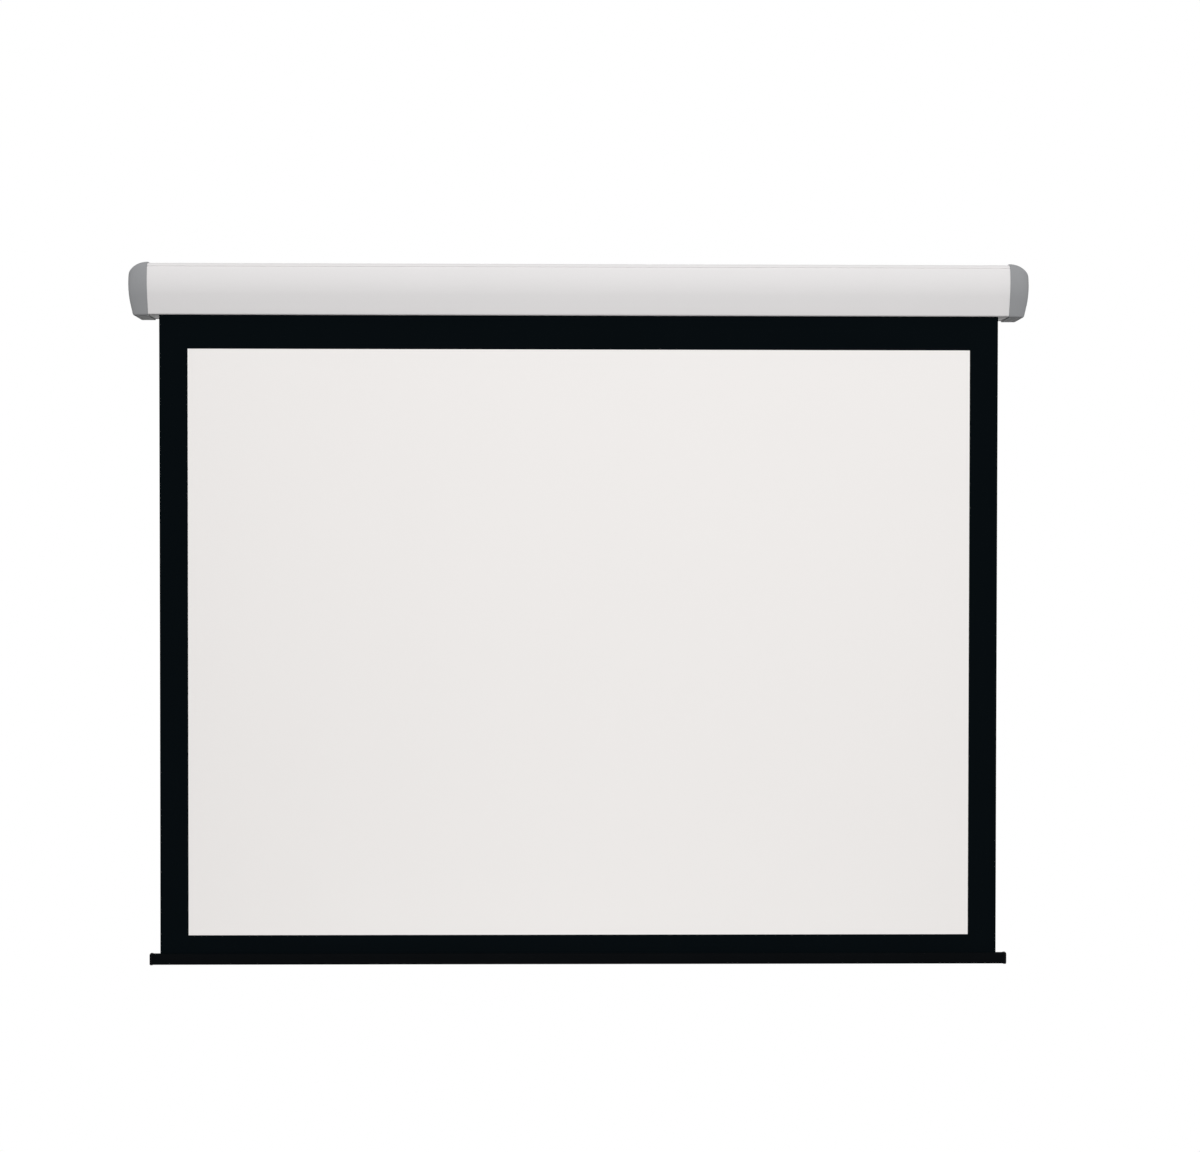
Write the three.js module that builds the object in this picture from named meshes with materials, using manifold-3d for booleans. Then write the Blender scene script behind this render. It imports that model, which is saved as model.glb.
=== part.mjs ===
// Motorised projection screen, fully lowered. Millimetres, +Z up, the wall at +Y, the viewer at -Y, X along the case.
// The origin is on the flat land of the case's back, at the middle of its length.
import * as THREE from 'three';
import { mergeVertices } from 'three/addons/utils/BufferGeometryUtils.js';
import Module from 'manifold-3d';

const wasm = await Module();
wasm.setup();

// Shared by all cuts and seats
const overrun = 1;
const seatGap = 0.3;
const runningGap = 0.15;

// Viewing surface and cloth
const pictureWidth = 1440;
const pictureHeight = 1080;
const maskSide = 52;
const maskBottom = 34;
const maskDrop = 60.8;
const sheetThickness = 0.45;
const maskThickness = 0.2;

// Case profile, as depth from the wall and height over the wall point
const caseBelow = 48.2;
const caseAbove = 47.5;
const caseWall = 1.8;
const frontFootDepth = 77;
const frontFootRise = 1.2;
const bulgeDepth = 93.5;
const bulgeHeight = 12;
const shoulderDepth = 85.5;
const recessDepth = 3.3;
const recessFoot = 12;
const backRadius = 1.5;
const footRadius = 4;
const bulgeRadius = 100;
const shoulderRadius = 13;
const landRadius = 0.6;
const innerRadiusLeast = 0.4;
const grooveHeight = 40;
const grooveWidth = 2;
const grooveDepth = 1.8;
const grooveWall = 1.5;

// Slot for the cloth, and the screw ports inside the case
const slotClearFront = 2.6;
const slotClearBack = 4.4;
const slotLip = 5;
const slotLipThickness = 1.4;
const portRadius = 4;
const portBore = 2.1;
const portSlit = 1.6;
const portInset = 3.2;
const portBackInset = 4.4;

// T groove in the back, and the brackets that slide in it
const railHeight = 30;
const railNeck = 6.4;
const railMouthDepth = 1.8;
const railHeadHeight = 13;
const railHeadDepth = 4.4;
const railWall = 1.6;
const bracketFromEnd = 271;
const bracketWidth = 48;
const bracketThickness = 3;
const bracketReach = 30;
const bracketFoot = 14;
const bracketBend = 4;
const keyLength = 32;
const bracketHole = 2.8;
const bracketHolePitch = 34;
const bracketHoleHeight = 20.5;
const clampShank = 2.2;
const clampHead = 4.5;
const clampHeadHeight = 2.8;
const clampSocket = 2.1;
const clampSocketDepth = 1.6;
const clampDepth = 18;

// End plates, their screws and the moulded caps
const plateThickness = 2;
const plateInset = 0.6;
const screwShank = 1.9;
const screwLength = 14;
const screwHead = 3.4;
const screwHeadHeight = 2.6;
const screwCross = 1.1;
const screwCrossDepth = 1.2;
const capOverlap = 2;
const capReach = 35;
const capFootRound = 3.5;
const capLowRound = 5;
const capFrontRound = 12;
const capTopRound = 27;
const capWall = 2.2;
const capRimLand = 1.2;
const capFootDrawIn = 7;
const capFootStartShare = 0.88;
const capTopDrawIn = 1;
const tongueWidth = 10;
const tongueThickness = 1.8;
const tongueHeight = 30;
const tongueDepth = 40;
const tonguePass = 5;
const tongueBarb = 0.9;
const tongueRootShare = 0.8;

// Roller, its motor on the left and its idler on the right
const rollerRadius = 25;
const rollerWall = 1.2;
const rollerDepth = 45;
const rollerHeight = 0;
const clothEndMargin = 4;
const rollerEndGap = 15;
const keywayWidth = 4;
const keywayDepth = 3.4;
const keyRodRadius = 1.3;
const turnPitch = 0.75;
const turnsLeft = 1.25;
const motorHeadRadius = 23;
const motorHeadThickness = 10.7;
const motorRadius = 17.5;
const motorLength = 460;
const motorNeck = 2.5;
const crownLength = 22;
const crownFlange = 1.4;
const wheelLength = 26;
const shaftRadius = 6;
const shaftLength = 34;
const shaftFlat = 4.6;
const spigotSide = 12;
const spigotLength = 9;
const clipThickness = 1.2;
const clipArm = 3.4;
const clipGrooveDepth = 1.2;
const adjusterRadius = 3;
const adjusterLength = 8;
const adjusterSocket = 1.3;
const adjusterSocketDepth = 4;
const adjusterOffset = 14.5;
const accessRadius = 4;
const idlerPlugLength = 40;
const bushRadius = 8;
const bushLength = 14;
const bushFlange = 10;
const bushFlangeThickness = 1.6;
const pinRadius = 5;
const pinLength = 34;
const pinShoulder = 8;
const rivetRadius = 7;
const rivetHeight = 1.4;
const rivetNeck = 4;

// Motor lead and the bushing that it leaves through
const leadRadius = 2.5;
const leadExitDepth = 24;
const leadExitHeight = 16;
const bushingInset = 9;
const bushingDepth = 20;
const bossRadius = 6.4;
const bossHeight = 9;
const bushingFlange = 5.6;
const bushingFlangeHeight = 1.6;
const bushingCollar = 4.2;
const bushingCollarHeight = 2.6;
const bushingStem = 3.6;
const bushingBore = 2.7;

// Bottom bar
const barOverhang = 14;
const barDepth = 13;
const barHeight = 20;
const barRadius = 3;
const barSlot = 1.7;
const hemBore = 2.8;
const hemRodRadius = 2.2;
const hemDepth = 5.4;
const weightBore = 4.4;
const weightRodRadius = 4;
const weightRise = 5.9;
const barCapThickness = 5;
const barCapRim = 0.8;
const barCapRound = 1.6;
const barPegLength = 8;

// Steps on round stretches
const cornerSteps = 4;
const bulgeSteps = 12;
const shoulderSteps = 8;
const capRings = 7;
const roundSteps = 40;
const smallSteps = 20;
const turnSteps = 48;
const hexSides = 6;

// Places worked out from the sizes above
const sheetWidth = pictureWidth + 2 * maskSide;
const rollerRight = sheetWidth / 2 + clothEndMargin;
const rollerLeft = -rollerRight;
const halfCase = rollerRight + rollerEndGap;
const bracketOffset = halfCase - bracketFromEnd;
const barLength = sheetWidth + 2 * barOverhang;
const caseTop = caseAbove;
const caseFoot = -caseBelow;
const frontFoot = caseFoot + frontFootRise;
const pictureTop = caseFoot - maskDrop;
const pictureFoot = pictureTop - pictureHeight;
const barTop = pictureFoot - maskBottom;
const barFoot = barTop - barHeight;
const wrapStart = rollerRadius + seatGap;
const wrapEnd = wrapStart + turnPitch * turnsLeft;
const sheetDepth = rollerDepth + wrapEnd + sheetThickness / 2;
const hemHeight = barTop - hemDepth;
const bracketTop = caseTop + seatGap;

// A corner of an outline: depth and height, the radius of its rounding and how many steps the rounding has
const caseCorners = [
  { depth: 0, height: caseFoot, radius: backRadius, steps: cornerSteps },
  { depth: frontFootDepth, height: frontFoot, radius: footRadius, steps: cornerSteps },
  { depth: bulgeDepth, height: bulgeHeight, radius: bulgeRadius, steps: bulgeSteps },
  { depth: shoulderDepth, height: caseTop, radius: shoulderRadius, steps: shoulderSteps },
  { depth: recessDepth, height: caseTop, radius: backRadius, steps: cornerSteps },
  { depth: recessDepth, height: recessFoot, radius: 0, steps: 0 },
  { depth: 0, height: recessFoot, radius: landRadius, steps: 1 },
];

// The cap covers the recess too, so its back is one flat face
const capCorners = caseCorners.slice(0, -2).map((corner) => ({
  ...corner,
  depth: corner.depth === recessDepth ? 0 : corner.depth,
}));

// Moves each edge of an outline inwards by its own distance; edge i runs from corner i to the next
function insetCorners(corners, distances) {
  const count = corners.length;
  const edges = corners.map((corner, i) => {
    const next = corners[(i + 1) % count];
    const along = new THREE.Vector2(next.depth - corner.depth, next.height - corner.height).normalize();
    const inward = new THREE.Vector2(-along.y, along.x).multiplyScalar(distances[i]);
    return { along, start: new THREE.Vector2(corner.depth, corner.height).add(inward) };
  });
  return corners.map((corner, i) => {
    const before = edges[(i + count - 1) % count];
    const after = edges[i];
    const turn = before.along.cross(after.along);
    const reach = after.start.clone().sub(before.start).cross(after.along) / turn;
    const point = before.start.clone().addScaledVector(before.along, reach);
    const shift = (distances[i] + distances[(i + count - 1) % count]) / 2;
    const wanted = turn > 0 ? corner.radius - shift : corner.radius + shift;
    const radius = corner.steps ? Math.max(wanted, innerRadiusLeast) : 0;
    return { ...corner, depth: point.x, height: point.y, radius };
  });
}

// How far each rounding reaches along its edges, limited so that two roundings never cross on an edge
function roundingReaches(corners) {
  const count = corners.length;
  const at = (i) => new THREE.Vector2(corners[i % count].depth, corners[i % count].height);
  const wanted = corners.map((corner, i) => {
    const back = at(i + count - 1).sub(at(i)).normalize();
    const onward = at(i + 1).sub(at(i)).normalize();
    const half = Math.acos(THREE.MathUtils.clamp(back.dot(onward), -1, 1)) / 2;
    return { reach: corner.radius / Math.tan(half), back, onward, half };
  });
  const fit = wanted.map(({ reach }, i) => {
    const room = at(i).distanceTo(at(i + 1));
    return Math.min(1, room / Math.max(reach + wanted[(i + 1) % count].reach, innerRadiusLeast));
  });
  return wanted.map((entry, i) => ({ ...entry, reach: entry.reach * Math.min(fit[i], fit[(i + count - 1) % count]) }));
}

// Points of an outline with each corner rounded by an arc
function roundedOutline(corners) {
  const roundings = roundingReaches(corners);
  return corners.flatMap((corner, i) => {
    const here = new THREE.Vector2(corner.depth, corner.height);
    if (!corner.steps) return [here];
    const { reach, back, onward, half } = roundings[i];
    const middle = back.clone().add(onward).normalize();
    const centre = here.clone().addScaledVector(middle, reach / Math.cos(half));
    const from = here.clone().addScaledVector(back, reach).sub(centre);
    const sweep = (Math.PI - 2 * half) * Math.sign(onward.cross(back));
    return Array.from({ length: corner.steps + 1 }, (_, k) =>
      from.clone().rotateAround(new THREE.Vector2(), sweep * (k / corner.steps)).add(centre));
  });
}

const even = (corners, distance) => corners.map(() => distance);

// Geometry and solids
function closed(geometry) {
  geometry.deleteAttribute('normal');
  geometry.deleteAttribute('uv');
  return mergeVertices(geometry, seatGap / 1000);
}

function solid(geometry) {
  const merged = closed(geometry);
  const vertProperties = new Float32Array(merged.attributes.position.array);
  const triVerts = new Uint32Array(merged.index.array);
  return new wasm.Manifold(new wasm.Mesh({ numProp: 3, vertProperties, triVerts }));
}

function geometryOf(manifold) {
  const mesh = manifold.getMesh();
  const geometry = new THREE.BufferGeometry();
  geometry.setAttribute('position', new THREE.BufferAttribute(new Float32Array(mesh.vertProperties), 3));
  geometry.setIndex(new THREE.BufferAttribute(new Uint32Array(mesh.triVerts), 1));
  const flat = geometry.toNonIndexed();
  flat.computeVertexNormals();
  return flat;
}

// A bar along X from one end to the other, whose section is an outline in depth and height
function alongX(outline, fromX, toX, holes = []) {
  const shape = new THREE.Shape(outline);
  shape.holes = holes.map((points) => new THREE.Path(points));
  const geometry = new THREE.ExtrudeGeometry(shape, { depth: toX - fromX, bevelEnabled: false });
  // The section's depth points to the viewer, its height up, and the extrusion along X
  const axes = new THREE.Matrix4().makeBasis(
    new THREE.Vector3(0, -1, 0), new THREE.Vector3(0, 0, 1), new THREE.Vector3(-1, 0, 0));
  geometry.applyMatrix4(axes);
  geometry.translate(toX, 0, 0);
  return geometry;
}

function rectangle(depth, height, depthSize, heightSize) {
  const left = depth - depthSize / 2;
  const foot = height - heightSize / 2;
  return [
    new THREE.Vector2(left, foot), new THREE.Vector2(left + depthSize, foot),
    new THREE.Vector2(left + depthSize, foot + heightSize), new THREE.Vector2(left, foot + heightSize),
  ];
}

function circle(depth, height, radius, steps = roundSteps) {
  return Array.from({ length: steps }, (_, k) => {
    const angle = (2 * Math.PI * k) / steps;
    return new THREE.Vector2(depth + radius * Math.cos(angle), height + radius * Math.sin(angle));
  });
}

const bar = (outline, fromX, toX) => solid(alongX(outline, fromX, toX));

function box(x, depth, height, xSize, depthSize, heightSize) {
  const geometry = new THREE.BoxGeometry(xSize, depthSize, heightSize);
  return solid(geometry.translate(x, -depth, height));
}

function post(x, depth, foot, top, radius, steps = smallSteps) {
  const geometry = new THREE.CylinderGeometry(radius, radius, top - foot, steps);
  geometry.rotateX(Math.PI / 2);
  return solid(geometry.translate(x, -depth, (top + foot) / 2));
}

// A turned piece along X: rows of distance along X and radius, which start and end on the axis
function turned(rows, depth, height, steps = roundSteps) {
  const geometry = new THREE.LatheGeometry(rows.map(([x, radius]) => new THREE.Vector2(radius, x)), steps);
  geometry.rotateZ(-Math.PI / 2);
  geometry.translate(0, -depth, height);
  const merged = closed(geometry);
  return solidEitherWay(merged);
}

// Turns a closed mesh the right way out
function solidEitherWay(geometry) {
  const index = geometry.index.array;
  const place = geometry.attributes.position;
  const a = new THREE.Vector3();
  const b = new THREE.Vector3();
  const c = new THREE.Vector3();
  let volume = 0;
  for (let i = 0; i < index.length; i += 3) {
    a.fromBufferAttribute(place, index[i]);
    b.fromBufferAttribute(place, index[i + 1]);
    c.fromBufferAttribute(place, index[i + 2]);
    volume += a.dot(b.cross(c));
  }
  const triVerts = new Uint32Array(index);
  if (volume < 0) triVerts.reverse();
  const vertProperties = new Float32Array(place.array);
  return new wasm.Manifold(new wasm.Mesh({ numProp: 3, vertProperties, triVerts }));
}

// Joins convex rings of as many points each, and closes both ends with a fan of flat faces
function loft(rings) {
  const count = rings[0].length;
  const points = rings.flat();
  const index = [];
  rings.slice(1).forEach((_, row) => {
    rings[0].forEach((_point, k) => {
      const a = row * count + k;
      const b = row * count + ((k + 1) % count);
      index.push(a, b, b + count, a, b + count, a + count);
    });
  });
  const fan = (row, turnedOver) => {
    const middle = rings[row].reduce((sum, point) => sum.add(point), new THREE.Vector3()).divideScalar(count);
    const centre = points.push(middle) - 1;
    rings[row].forEach((_point, k) => {
      const edge = [row * count + k, row * count + ((k + 1) % count)];
      index.push(centre, ...(turnedOver ? edge.reverse() : edge));
    });
  };
  fan(0, true);
  fan(rings.length - 1, false);
  const geometry = new THREE.BufferGeometry().setFromPoints(points);
  geometry.setIndex(index);
  return solidEitherWay(geometry);
}

// Materials
const paint = (color, roughness, metalness) => ({ color, roughness, metalness });
const finishes = {
  caseWhite: paint(0xe4e2e1, 0.35, 0),
  capGrey: paint(0x9a9b9e, 0.45, 0),
  steel: paint(0xb4b6b8, 0.35, 0.9),
  zinc: paint(0xc4c6c2, 0.3, 0.9),
  darkPlastic: paint(0x2a2b2d, 0.5, 0),
  whitePlastic: paint(0xe8e6df, 0.5, 0),
  yellowPlastic: paint(0xd9b43a, 0.5, 0),
  screenWhite: paint(0xefece8, 0.85, 0),
  maskBlack: paint(0x0a0e12, 0.8, 0),
  barBlack: paint(0x0b0c0e, 0.4, 0.3),
};

const screen = new THREE.Group();

function add(name, manifold, finish) {
  const mesh = new THREE.Mesh(geometryOf(manifold), new THREE.MeshStandardMaterial(finish));
  mesh.name = name;
  screen.add(mesh);
}

// Ports sit in the corners of the case, and take the plate screws
const innerCorners = insetCorners(caseCorners, even(caseCorners, caseWall));
const [innerBack, , , innerShoulder, innerTop] = innerCorners;
const slotFront = sheetDepth + slotClearFront;
const slotBack = sheetDepth - slotClearBack;
const slotMiddle = (slotFront + slotBack) / 2;
const slotWidth = slotFront - slotBack;
const portBelow = slotBack - portRadius - slotLip;
const footAt = (depth) => caseFoot + (frontFootRise * depth) / frontFootDepth;
const ports = [
  { depth: innerBack.depth + portBackInset, height: innerBack.height + portInset, open: Math.PI / 4 },
  { depth: portBelow, height: footAt(portBelow) + caseWall + portInset, open: Math.PI / 2 },
  { depth: innerShoulder.depth - portRadius - portInset, height: innerShoulder.height - portInset,
    open: -Math.PI / 2 },
  { depth: innerTop.depth + portInset, height: innerTop.height - portInset, open: -Math.PI / 4 },
];

function portSlitOutline({ depth, height, open }) {
  const middle = new THREE.Vector2(depth, height);
  const reach = portRadius + overrun;
  return rectangle(depth + reach / 2, height, reach, portSlit).map((point) => point.rotateAround(middle, open));
}

function caseExtrusion() {
  const from = -halfCase;
  const to = halfCase;
  const past = [from - overrun, to + overrun];
  const outer = bar(roundedOutline(caseCorners), from, to);
  let body = outer.subtract(bar(roundedOutline(innerCorners), ...past));
  const railBack = recessDepth + railMouthDepth + railHeadDepth + railWall;
  const railBlock = rectangle((recessDepth + railBack) / 2, railHeight, railBack - recessDepth,
    railHeadHeight + 2 * railWall);
  body = body.add(bar(railBlock, from, to));
  const slotFoot = caseFoot - overrun;
  const lipTop = frontFoot + caseWall + slotLip;
  [slotFront + slotLipThickness / 2, slotBack - slotLipThickness / 2].forEach((depth) => {
    const lip = rectangle(depth, (caseFoot + lipTop) / 2, slotLipThickness, lipTop - caseFoot);
    body = body.add(bar(lip, from, to).intersect(outer));
  });
  ports.forEach(({ depth, height }) => {
    body = body.add(bar(circle(depth, height, portRadius, smallSteps), from, to));
  });
  ports.forEach((port) => {
    body = body.subtract(bar(circle(port.depth, port.height, portBore, smallSteps), ...past));
    body = body.subtract(bar(portSlitOutline(port), ...past));
  });
  const slot = rectangle(slotMiddle, (slotFoot + lipTop) / 2, slotWidth, lipTop - slotFoot + overrun);
  body = body.subtract(bar(slot, ...past));
  const neck = rectangle(recessDepth, railHeight, 2 * railMouthDepth + overrun, railNeck);
  const headDepth = recessDepth + railMouthDepth + railHeadDepth / 2;
  const head = rectangle(headDepth, railHeight, railHeadDepth, railHeadHeight);
  body = body.subtract(bar(neck, ...past)).subtract(bar(head, ...past));
  const front = frontDepthAt(grooveHeight);
  const backing = rectangle(front - (grooveDepth + grooveWall) / 2, grooveHeight, grooveDepth + grooveWall,
    grooveWidth + 2 * grooveWall);
  body = body.add(bar(backing, from, to).intersect(outer));
  return body.subtract(bar(rectangle(front, grooveHeight, 2 * grooveDepth, grooveWidth), ...past));
}

// How deep the case's front is at a height, along its outline
function frontDepthAt(height) {
  const outline = roundedOutline(caseCorners);
  const depths = outline.flatMap((point, i) => {
    const next = outline[(i + 1) % outline.length];
    if ((point.y - height) * (next.y - height) > 0 || point.y === next.y) return [];
    return [point.x + (next.x - point.x) * ((height - point.y) / (next.y - point.y))];
  });
  return Math.max(...depths);
}

// How far each edge of the cap is drawn in at its end: foot, lower front, upper front, top, and the flat back
const capRounds = [capFootRound, capLowRound, capFrontRound, capTopRound, 0];
const capStartShares = [capFootStartShare, 0, 0, 0, 0];

// Each edge is drawn in along a quarter ellipse, which starts at a share of the cap's reach
function drawIn(round, startShare, reachShare) {
  const share = THREE.MathUtils.clamp((reachShare - startShare) / (1 - startShare), 0, 1);
  return round * (1 - Math.sqrt(1 - share * share));
}

// A domed, hollow cap: rings of the case's outline, drawn in towards its end, and less deep at its foot
function capDome(rimGrow, reach) {
  const rim = insetCorners(capCorners, capRounds.map((round) => (round ? -rimGrow : 0)));
  const angles = Array.from({ length: capRings }, (_, k) => (Math.PI / 2) * (k / (capRings - 1)));
  const rings = angles.map((angle) => {
    const distances = capRounds.map((round, i) => drawIn(round, capStartShares[i], Math.sin(angle)));
    return roundedOutline(insetCorners(rim, distances)).map((point) =>
      new THREE.Vector3(capRimLand + reachAt(point.y, reach) * Math.sin(angle), -point.x, point.y));
  });
  const start = rings[0].map((point) => new THREE.Vector3(0, point.y, point.z));
  return loft([start, ...rings]);
}

// The cap reaches furthest out at the height of the case's bulge, and less towards its foot and top
function reachAt(height, reach) {
  const below = height < bulgeHeight;
  const span = below ? bulgeHeight - caseFoot : caseTop - bulgeHeight;
  const off = (height - bulgeHeight) / span;
  return reach - (below ? capFootDrawIn : capTopDrawIn) * off * off;
}

function tongue(sign) {
  const height = sign * tongueHeight;
  const root = reachAt(height, capReach) - tongueRootShare * capWall;
  const stem = box((root + plateThickness - tonguePass) / 2, tongueDepth, height,
    root + tonguePass - plateThickness, tongueWidth, tongueThickness);
  const barbLength = tonguePass - plateThickness - seatGap;
  const barb = box(-seatGap - barbLength / 2, tongueDepth, height - sign * (tongueThickness + tongueBarb) / 2,
    barbLength, tongueWidth, tongueBarb);
  return stem.add(barb);
}

const turnToLeft = [-1, 1, 1];

function endCap(side) {
  const outer = capDome(capOverlap, capReach - capRimLand);
  const hollow = capDome(capOverlap - capWall, capReach - capRimLand - capWall);
  const inner = hollow.translate([-overrun, 0, 0]).add(hollow);
  const backWall = capWall + overrun;
  const innerBack = box(0, capWall - backWall / 2, 0, 2 * (capReach + overrun), backWall,
    2 * (caseBelow + caseAbove));
  let body = outer.subtract(inner.subtract(innerBack));
  [1, -1].forEach((sign) => {
    body = body.add(tongue(sign));
  });
  if (side < 0) {
    const top = caseTop + capOverlap;
    const bossTop = post(bushingInset, bushingDepth, top - bossHeight, top, bossRadius);
    body = body.add(bossTop).subtract(post(bushingInset, bushingDepth, top - bossHeight - overrun,
      top + overrun, bushingStem + runningGap));
    body = body.scale(turnToLeft);
  }
  return body.translate([side * halfCase, 0, 0]);
}

// The plate follows the case's outline, and clears the back wall of the cap
const plateCorners = insetCorners(caseCorners, caseCorners.map((_, i) =>
  (i === caseCorners.length - 1 ? capWall + seatGap : plateInset)));

function endPlate(side) {
  const inner = side * halfCase;
  const outer = side * (halfCase + plateThickness);
  const ends = [Math.min(inner, outer), Math.max(inner, outer)];
  const past = [ends[0] - overrun, ends[1] + overrun];
  let plate = bar(roundedOutline(plateCorners), ...ends);
  const cut = (outline) => {
    plate = plate.subtract(bar(outline, ...past));
  };
  ports.forEach(({ depth, height }) => cut(circle(depth, height, screwShank + runningGap, smallSteps)));
  [1, -1].forEach((sign) => {
    const slotHeight = sign * (tongueHeight - tongueBarb / 2);
    cut(rectangle(tongueDepth, slotHeight, tongueWidth + 2 * seatGap, tongueThickness + tongueBarb + 2 * seatGap));
  });
  if (side > 0) {
    cut(circle(rollerDepth, rollerHeight, rivetNeck + runningGap, smallSteps));
    return plate;
  }
  const spigotHole = spigotSide + 2 * runningGap;
  cut(rectangle(rollerDepth, rollerHeight, spigotHole, spigotHole));
  adjusterPlaces.forEach(({ depth, height }) => cut(circle(depth, height, accessRadius, smallSteps)));
  cut(circle(leadExitDepth + leadRadius, leadExitHeight, accessRadius, smallSteps));
  return plate;
}

const adjusterPlaces = [-1, 1].map((sign) => ({
  depth: rollerDepth + sign * adjusterOffset,
  height: rollerHeight - adjusterOffset / 2,
}));

// A pan headed screw with a crossed recess, driven towards the middle of the case
function plateScrew(side, { depth, height }) {
  const face = halfCase + plateThickness;
  const rows = [
    [face - screwLength, 0], [face - screwLength, screwShank], [face, screwShank], [face, screwHead],
    [face + screwHeadHeight / 2, screwHead], [face + screwHeadHeight, screwHead - screwHeadHeight / 2],
    [face + screwHeadHeight, 0],
  ];
  let screw = turned(rows, depth, height, smallSteps);
  const recessX = face + screwHeadHeight;
  screw = screw.subtract(box(recessX, depth, height, 2 * screwCrossDepth, screwHead, screwCross));
  screw = screw.subtract(box(recessX, depth, height, 2 * screwCrossDepth, screwCross, screwHead));
  return side > 0 ? screw : screw.scale(turnToLeft);
}

// An angle that stands on the wall and over the case, with a T key for the case's groove
function wallBracket(x) {
  const top = bracketTop + bracketThickness;
  const outline = [
    [0, bracketFoot], [bracketThickness, bracketFoot], [bracketThickness, bracketTop],
    [bracketReach, bracketTop], [bracketReach, top], [bracketBend, top], [0, top - bracketBend],
  ].map(([depth, height]) => new THREE.Vector2(depth, height));
  const half = bracketWidth / 2;
  let body = bar(outline, x - half, x + half);
  const headFrom = recessDepth + railMouthDepth + seatGap;
  const headTo = recessDepth + railMouthDepth + railHeadDepth - seatGap;
  const neckSize = railNeck - 2 * seatGap;
  const neckFrom = bracketThickness - overrun;
  const neck = rectangle((neckFrom + headTo) / 2, railHeight, headTo - neckFrom, neckSize);
  const head = rectangle((headFrom + headTo) / 2, railHeight, headTo - headFrom, railHeadHeight - 2 * seatGap);
  body = body.add(bar(neck, x - keyLength / 2, x + keyLength / 2));
  body = body.add(bar(head, x - keyLength / 2, x + keyLength / 2));
  body = body.subtract(post(x, clampDepth, bracketTop - overrun, top + overrun, clampShank + runningGap));
  [-1, 1].forEach((sign) => {
    const holeX = x + (sign * bracketHolePitch) / 2;
    const across = new THREE.CylinderGeometry(bracketHole, bracketHole, 2 * bracketThickness + overrun, smallSteps);
    body = body.subtract(solid(across.translate(holeX, -bracketThickness / 2, bracketHoleHeight)));
    body = body.subtract(post(holeX, clampDepth, bracketTop - overrun, top + overrun, bracketHole));
  });
  return body;
}

function bracketScrew(x) {
  const seat = bracketTop + bracketThickness;
  const shank = post(x, clampDepth, bracketTop, seat + overrun, clampShank);
  const head = post(x, clampDepth, seat, seat + clampHeadHeight, clampHead);
  const socketFoot = seat + clampHeadHeight - clampSocketDepth;
  return shank.add(head).subtract(post(x, clampDepth, socketFoot, seat + clampHeadHeight + overrun,
    clampSocket, hexSides));
}

const headInner = -halfCase + motorHeadThickness;

function motorHead() {
  const from = -halfCase;
  let head = bar(circle(rollerDepth, rollerHeight, motorHeadRadius), from, headInner);
  const spigot = rectangle(rollerDepth, rollerHeight, spigotSide, spigotSide);
  head = head.add(bar(spigot, from - plateThickness - spigotLength, from + overrun));
  const grooveFrom = from - plateThickness - clipThickness - 2 * runningGap;
  const ring = bar(rectangle(rollerDepth, rollerHeight, 2 * spigotSide, 2 * spigotSide), grooveFrom,
    from - plateThickness);
  const coreSide = spigotSide - 2 * clipGrooveDepth;
  const core = bar(rectangle(rollerDepth, rollerHeight, coreSide, coreSide), grooveFrom - overrun, from);
  head = head.subtract(ring.subtract(core));
  adjusterPlaces.forEach(({ depth, height }) => {
    head = head.subtract(bar(circle(depth, height, adjusterRadius + runningGap, smallSteps), from - overrun,
      from + adjusterLength + runningGap));
  });
  return head;
}

// A U of spring steel that slides on to the spigot's groove and holds the motor to the plate
function motorClip() {
  const side = spigotSide - 2 * clipGrooveDepth + 2 * runningGap;
  const outer = side + 2 * clipArm;
  const to = -halfCase - plateThickness - runningGap;
  const from = to - clipThickness;
  const plate = bar(rectangle(rollerDepth, rollerHeight - clipArm / 2, outer, outer), from, to);
  const throat = rectangle(rollerDepth, rollerHeight + outer / 2, side, outer + side);
  return plate.subtract(bar(throat, from - overrun, to + overrun));
}

function limitAdjuster({ depth, height }) {
  const from = -halfCase;
  const peg = bar(circle(depth, height, adjusterRadius, smallSteps), from, from + adjusterLength);
  return peg.subtract(bar(circle(depth, height, adjusterSocket, hexSides), from - overrun,
    from + adjusterSocketDepth));
}

const motorFar = headInner + motorLength;

function motorTube() {
  const rows = [
    [headInner, 0], [headInner, motorRadius], [motorFar - motorNeck, motorRadius],
    [motorFar, motorRadius - motorNeck], [motorFar, 0],
  ];
  return turned(rows, rollerDepth, rollerHeight);
}

// The output shaft has a flat, which the drive wheel's bore shares
function shaftOutline(radius, flat) {
  return circle(rollerDepth, rollerHeight, radius, roundSteps)
    .map((point) => new THREE.Vector2(point.x, Math.min(point.y, rollerHeight + flat)));
}

function outputShaft() {
  return bar(shaftOutline(shaftRadius, shaftFlat), motorFar + seatGap, motorFar + seatGap + shaftLength);
}

// Outline of the roller's tube, or of what fits in it, with the keyway pressed in at the back
function keywayOutline(radius, width, depth) {
  const half = Math.asin(width / 2 / radius);
  const arc = Array.from({ length: roundSteps + 1 }, (_, k) => {
    const angle = Math.PI + half + (2 * (Math.PI - half) * k) / roundSteps;
    return new THREE.Vector2(rollerDepth + radius * Math.cos(angle), rollerHeight + radius * Math.sin(angle));
  });
  const floor = rollerDepth - radius + depth;
  const up = new THREE.Vector2(floor, rollerHeight + width / 2);
  const down = new THREE.Vector2(floor, rollerHeight - width / 2);
  return [...arc, up, down];
}

const boreRadius = rollerRadius - rollerWall;

function rollerTube() {
  const outer = keywayOutline(rollerRadius, keywayWidth, keywayDepth);
  const inner = keywayOutline(boreRadius, keywayWidth + 2 * rollerWall, keywayDepth);
  return solid(alongX(outer, rollerLeft, rollerRight, [inner.slice().reverse()]));
}

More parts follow.
